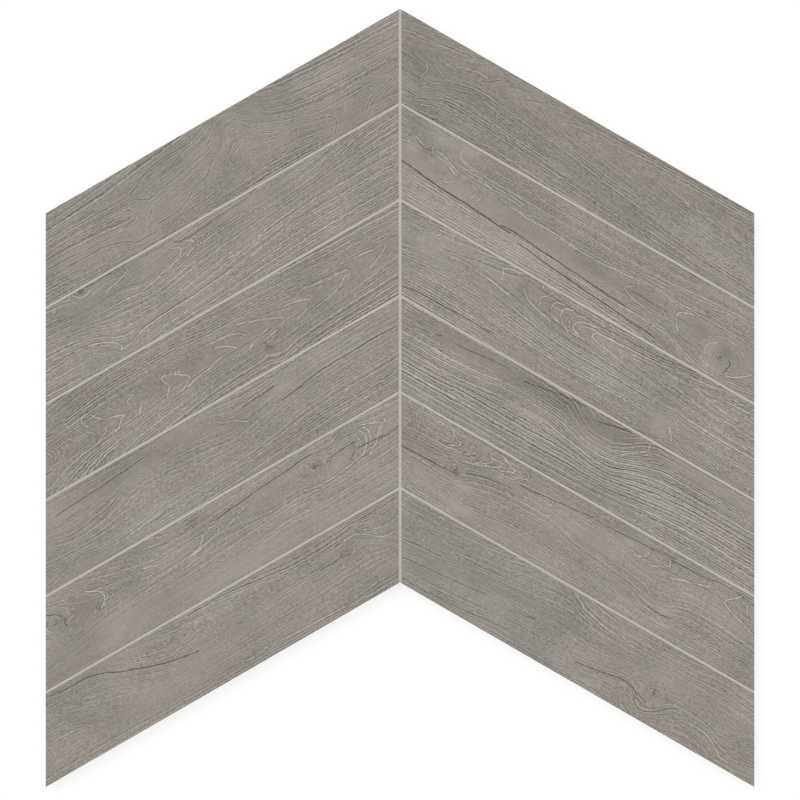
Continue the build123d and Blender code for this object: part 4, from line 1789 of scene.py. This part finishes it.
def grow_knots(w, groups, knots, point, ring):
    """The rings with these knots in them, and the masks of the knots."""
    grown = {"Ring": ring, "Core": 0.0, "Halo": 0.0, "Seam": 0.0}
    for knot in knots:
        grown = w.group(
            groups["knot"], point=point, at=flat(knot.at), size=knot.size, heart=knot.core,
            ring=grown["Ring"], core=grown["Core"], halo=grown["Halo"], seam=grown["Seam"],
        )
    return grown


def print_plank(w, groups, plank, point):
    """The tone of a plank's print, the grain's own share of it, and its warmth."""
    seed = plank.seed
    smooth = w.group(groups["wobble"], point=point, seed=seed, jag=SMOOTH_JAG)["Point"]
    rough = w.group(groups["wobble"], point=point, seed=seed, jag=ROUGH_JAG)["Point"]
    crack = draw(w, groups, smooth, plank.cracks)
    dark = draw(w, groups, smooth, plank.dark)
    light = draw(w, groups, rough, plank.light)

    ring, density, steep = cut_rings(w, groups, plank, point)
    knots = grow_knots(w, groups, plank.knots, rough, ring)
    calm = w.most(gather(w, groups, point, plank.calm), w.minus(1.0, steep))
    calm = w.least(w.most(calm, knots["Seam"]), 1.0)
    echo = 0.0
    if plank.echo:
        beside = w.group(groups["echo"], point=point, seed=seed, nearest=dark, reach=plank.echo)
        calm = w.most(calm, beside["Calm"])
        echo = beside["Tone"]
    darkest, lightest = plank.lines
    grain = w.group(
        groups["grain"], point=point, ring=knots["Ring"], density=density, seed=seed, dark=darkest,
        light=lightest, fine=plank.fine, bold=gather(w, groups, point, plank.bold, BOLD_EVERYWHERE),
        calm=calm, tint=gather(w, groups, point, plank.tints),
    )
    marks = w.group(
        groups["marks"], point=point, seed=seed, ink=plank.ink, crack=crack, dark=dark, light=light
    )
    tone = w.total(
        BASE_TONE,
        grain["Tone"],
        marks["Tone"],
        echo,
        gather(w, groups, point, plank.shades, plank.tone),
        w.times(knots["Core"], CORE_TONE),
        w.times(knots["Halo"], HALO_TONE),
    )
    return tone, grain["Tone"], grain["Warmth"]


# Materials

def opaque(colour):
    return (*colour, 1.0)


def new_material(name):
    """A material, with its wiring and the inputs of its shader."""
    material = bpy.data.materials.new(name)
    material.use_nodes = True
    shader = material.node_tree.nodes["Principled BSDF"]
    return material, Wiring(material.node_tree), shader.inputs


def print_colour(w, tone, warmth, finish):
    """The colour of a print with this tone, under a tint that runs from cool to warm."""
    ramp = w.node("ShaderNodeValToRGB", {"Fac": tone})
    colours = (finish.crack, finish.grain_dark, finish.print_base, finish.grain_light, finish.lime)
    stops = ramp.color_ramp.elements
    while len(stops) < len(colours):
        stops.new(0.5)
    for index, colour in enumerate(colours):
        stops[index].position = index / (len(colours) - 1)
        stops[index].color = opaque(colour)
    tint = w.blend(warmth, opaque(finish.cool_tint), opaque(finish.warm_tint))
    return w.blend(1.0, ramp.outputs["Color"], tint, "MULTIPLY")


def tile_material(name, plank, groups, finish):
    """Printed porcelain: the plank's grain on the face, and the plain body at the edges and back."""
    material, w, shader = new_material(name)
    low, high = (Vector(corner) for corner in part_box(name))
    side = SIDES[name.split("_")[1]]
    axes = w.group(groups["axes"], middle=(low + high) / 2, slope=side * SLOPE)
    point = axes["Point"]

    tone, grain, warmth = print_plank(w, groups, plank, point)
    printed = print_colour(w, tone, warmth, finish)
    haze = w.times(w.fade(axes["Centre"], *HAZE_EDGE), HAZE_AMOUNT)
    printed = w.blend(haze, printed, opaque(finish.joint_light))
    body_grain = w.noise(w.scaled(point, BODY_GRAINS), 3.0, 0.6)
    body = w.blend(body_grain, opaque(finish.body_dark), opaque(finish.body_light))
    half_thickness = (high.z - low.z) / 2 * MILLIMETRES
    on_face = w.fade(w.split(point)[2], *(half_thickness - edge for edge in PRINT_EDGE))
    w.give(shader["Base Color"], w.blend(on_face, body, printed))
    w.give(shader["Roughness"], w.math("MULTIPLY_ADD", grain, ROUGHER_BY_TONE, finish.roughness))

    height = w.group(groups["relief"], point=point, seed=plank.seed)["Height"]
    values = {"Strength": RELIEF_STRENGTH, "Distance": finish.relief, "Height": height}
    w.give(shader["Normal"], w.node("ShaderNodeBump", values).outputs["Normal"])
    return material


def joint_material(finish):
    """Fine cement: pale, with grains of sand a little darker and lighter than the paste."""
    material, w, shader = new_material("joint_filling")
    place = w.scaled(w.node("ShaderNodeTexCoord").outputs["Object"], MILLIMETRES)
    sand = w.noise(w.scaled(place, SAND_GRAINS), 2.0, 0.7)
    drift = w.noise(w.scaled(place, SAND_DRIFT), 2.0)
    paleness = w.mix(SAND_SHARE, drift, sand)
    cement = w.blend(paleness, opaque(finish.joint_dark), opaque(finish.joint_light))
    w.give(shader["Base Color"], cement)
    w.give(shader["Roughness"], w.mix(sand, *JOINT_ROUGHNESS))
    values = {"Strength": SAND_STRENGTH, "Distance": SAND_HEIGHT, "Height": sand}
    w.give(shader["Normal"], w.node("ShaderNodeBump", values).outputs["Normal"])
    return material


def dress(name, material):
    """Give a piece this material and no other."""
    slots = bpy.data.objects[name].data.materials
    slots.clear()
    slots.append(material)


# Settings

def colour_setting(name, description, default):
    return bpy.props.FloatVectorProperty(
        name=name, description=description, subtype="COLOR", default=default
    )


class SheetFinish(bpy.types.PropertyGroup):
    """Colours and surface of the tiles and joints."""

    crack: colour_setting("Crack", "Darkest cracks of the print", shade(66, 60.2, 54))
    grain_dark: colour_setting("Dark grain", "Dark lines of the grain", shade(113.6, 107.8, 101.2))
    print_base: colour_setting("Base", "Middle colour of the print", shade(146.3, 140.4, 133.4))
    grain_light: colour_setting("Light grain", "Light lines of the grain", shade(171.6, 165.7, 158.8))
    lime: colour_setting("Lime", "Palest limed pores", shade(199.2, 193.3, 186.4))
    cool_tint: colour_setting("Cool tint", "Filter over the grey zones", (0.957, 1.0, 1.02))
    warm_tint: colour_setting("Warm tint", "Filter over the taupe zones", (1.007, 0.998, 0.983))
    body_dark: colour_setting("Body, dark", "Darker grains of the fired body", shade(150, 143, 134))
    body_light: colour_setting("Body, light", "Paler grains of the fired body", shade(186, 178, 167))
    joint_dark: colour_setting("Joint, dark", "Darker sand of the joints", shade(177, 172, 165))
    joint_light: colour_setting("Joint, light", "Paler paste of the joints", shade(205, 200, 193))
    roughness: bpy.props.FloatProperty(
        name="Roughness", description="Of the printed face", default=0.55, min=0, max=1,
        subtype="FACTOR",
    )
    relief: bpy.props.FloatProperty(
        name="Relief", description="Depth of the grain's relief", default=0.00015, unit="LENGTH"
    )


class SheetStage(bpy.types.PropertyGroup):
    """Camera, light and floor."""

    lens: bpy.props.FloatProperty(name="Lens", description="Focal length", default=100, unit="CAMERA")
    frame_width: bpy.props.FloatProperty(
        name="Frame width", description="What the picture spans at the face",
        default=0.4257, unit="LENGTH",
    )
    frame_drop: bpy.props.FloatProperty(
        name="Frame drop", description="How far the picture's middle lies below the sheet's",
        default=0.00113, unit="LENGTH",
    )
    sky: bpy.props.FloatProperty(
        name="Sky", description="Strength of the even light all round", default=0.72
    )
    lamp: bpy.props.FloatProperty(name="Lamp", description="Strength of the soft lamp", default=0.91)
    floor: bpy.props.FloatProperty(
        name="Floor", description="Width of the floor", default=8.0, unit="LENGTH"
    )


# Pieces

class PrintTiles(bpy.types.Operator):
    """Print each tile's face with its own plank's grain."""

    bl_idname = "tile_sheet.print_tiles"
    bl_label = "Print the tiles"

    def execute(self, context):
        finish = context.scene.sheet_finish
        groups = tile_groups()
        for name, plank in PLANKS.items():
            dress(name, tile_material(name, plank, groups, finish))
        return {"FINISHED"}


class FillJoints(bpy.types.Operator):
    """Give the joints their cement."""

    bl_idname = "tile_sheet.fill_joints"
    bl_label = "Fill the joints"

    def execute(self, context):
        dress("joint_filling", joint_material(context.scene.sheet_finish))
        return {"FINISHED"}


class SetStage(bpy.types.Operator):
    """Set the floor, the light and the camera."""

    bl_idname = "tile_sheet.set_stage"
    bl_label = "Set the stage"

    def execute(self, context):
        stage = context.scene.sheet_stage
        self.make_floor(context, stage)
        self.make_light(context, stage)
        self.make_camera(context, stage)
        context.scene.view_settings.view_transform = "Standard"
        return {"FINISHED"}

    def make_floor(self, context, stage):
        """A matt floor that glows where it is seen, so that it is white around a soft shadow."""
        half = stage.floor / 2
        mesh = bpy.data.meshes.new("floor")
        corners = [(-half, -half, 0), (half, -half, 0), (half, half, 0), (-half, half, 0)]
        mesh.from_pydata(corners, [], [(0, 1, 2, 3)])
        floor = bpy.data.objects.new("floor", mesh)
        floor.location.z = CAD_BOX[0][2] - FLOOR_GAP
        context.scene.collection.objects.link(floor)

        material = bpy.data.materials.new("floor")
        material.use_nodes = True
        w = Wiring(material.node_tree)
        material.node_tree.nodes.clear()
        path = w.node("ShaderNodeLightPath").outputs
        seen = w.most(path["Is Camera Ray"], path["Is Glossy Ray"])
        seen = w.most(seen, path["Is Transmission Ray"])
        matt = w.node("ShaderNodeBsdfDiffuse", {"Color": FLOOR_GREY}).outputs[0]
        glow = w.node("ShaderNodeEmission", {"Color": WHITE, "Strength": FLOOR_GLOW}).outputs[0]
        pale = w.node("ShaderNodeAddShader")
        w.give(pale.inputs[0], matt)
        w.give(pale.inputs[1], glow)
        choice = w.node("ShaderNodeMixShader")
        w.give(choice.inputs[0], seen)
        w.give(choice.inputs[1], matt)
        w.give(choice.inputs[2], pale.outputs[0])
        w.node("ShaderNodeOutputMaterial", {"Surface": choice.outputs[0]})
        mesh.materials.append(material)

    def make_light(self, context, stage):
        """An even sky, white where it is seen, and a soft lamp from the upper left."""
        world = bpy.data.worlds.new("studio")
        world.use_nodes = True
        w = Wiring(world.node_tree)
        world.node_tree.nodes.clear()
        path = w.node("ShaderNodeLightPath").outputs
        seen = w.most(path["Is Camera Ray"], path["Is Transmission Ray"])
        strength = w.mix(seen, stage.sky, 1.0)
        sky = w.node("ShaderNodeBackground", {"Color": WHITE, "Strength": strength}).outputs[0]
        w.node("ShaderNodeOutputWorld", {"Surface": sky})
        context.scene.world = world

        lamp = bpy.data.lights.new("soft_lamp", "SUN")
        lamp.angle = LAMP_SPREAD
        lamp.energy = stage.lamp
        holder = bpy.data.objects.new("soft_lamp", lamp)
        holder.location = LAMP_PLACE
        holder.rotation_euler = (-holder.location).to_track_quat("-Z", "Y").to_euler()
        context.scene.collection.objects.link(holder)

    def make_camera(self, context, stage):
        """A camera straight above the sheet."""
        camera = bpy.data.cameras.new("camera")
        camera.lens = stage.lens
        distance = stage.frame_width * stage.lens / camera.sensor_width
        holder = bpy.data.objects.new("camera", camera)
        holder.location = (0, -stage.frame_drop, CAD_BOX[1][2] + distance)
        context.scene.collection.objects.link(holder)
        context.scene.camera = holder


class SheetPanel(bpy.types.Panel):
    """Lists the steps and their settings."""

    bl_idname = "VIEW3D_PT_tile_sheet"
    bl_label = "Tile sheet"
    bl_space_type = "VIEW_3D"
    bl_region_type = "UI"
    bl_category = "Tile sheet"

    def draw(self, context):
        for settings in (context.scene.sheet_finish, context.scene.sheet_stage):
            box = self.layout.box()
            for name in settings.__annotations__:
                box.prop(settings, name)
        for step in STEPS:
            self.layout.operator(step.bl_idname)


STEPS = (PrintTiles, FillJoints, SetStage)
CLASSES = (SheetFinish, SheetStage, *STEPS, SheetPanel)


def register():
    for kind in CLASSES:
        bpy.utils.register_class(kind)
    bpy.types.Scene.sheet_finish = bpy.props.PointerProperty(type=SheetFinish)
    bpy.types.Scene.sheet_stage = bpy.props.PointerProperty(type=SheetStage)


def unregister():
    del bpy.types.Scene.sheet_stage
    del bpy.types.Scene.sheet_finish
    for kind in reversed(CLASSES):
        bpy.utils.unregister_class(kind)


def main():
    register()
    bpy.ops.tile_sheet.print_tiles()
    bpy.ops.tile_sheet.fill_joints()
    bpy.ops.tile_sheet.set_stage()


if __name__ == "__main__":
    main()
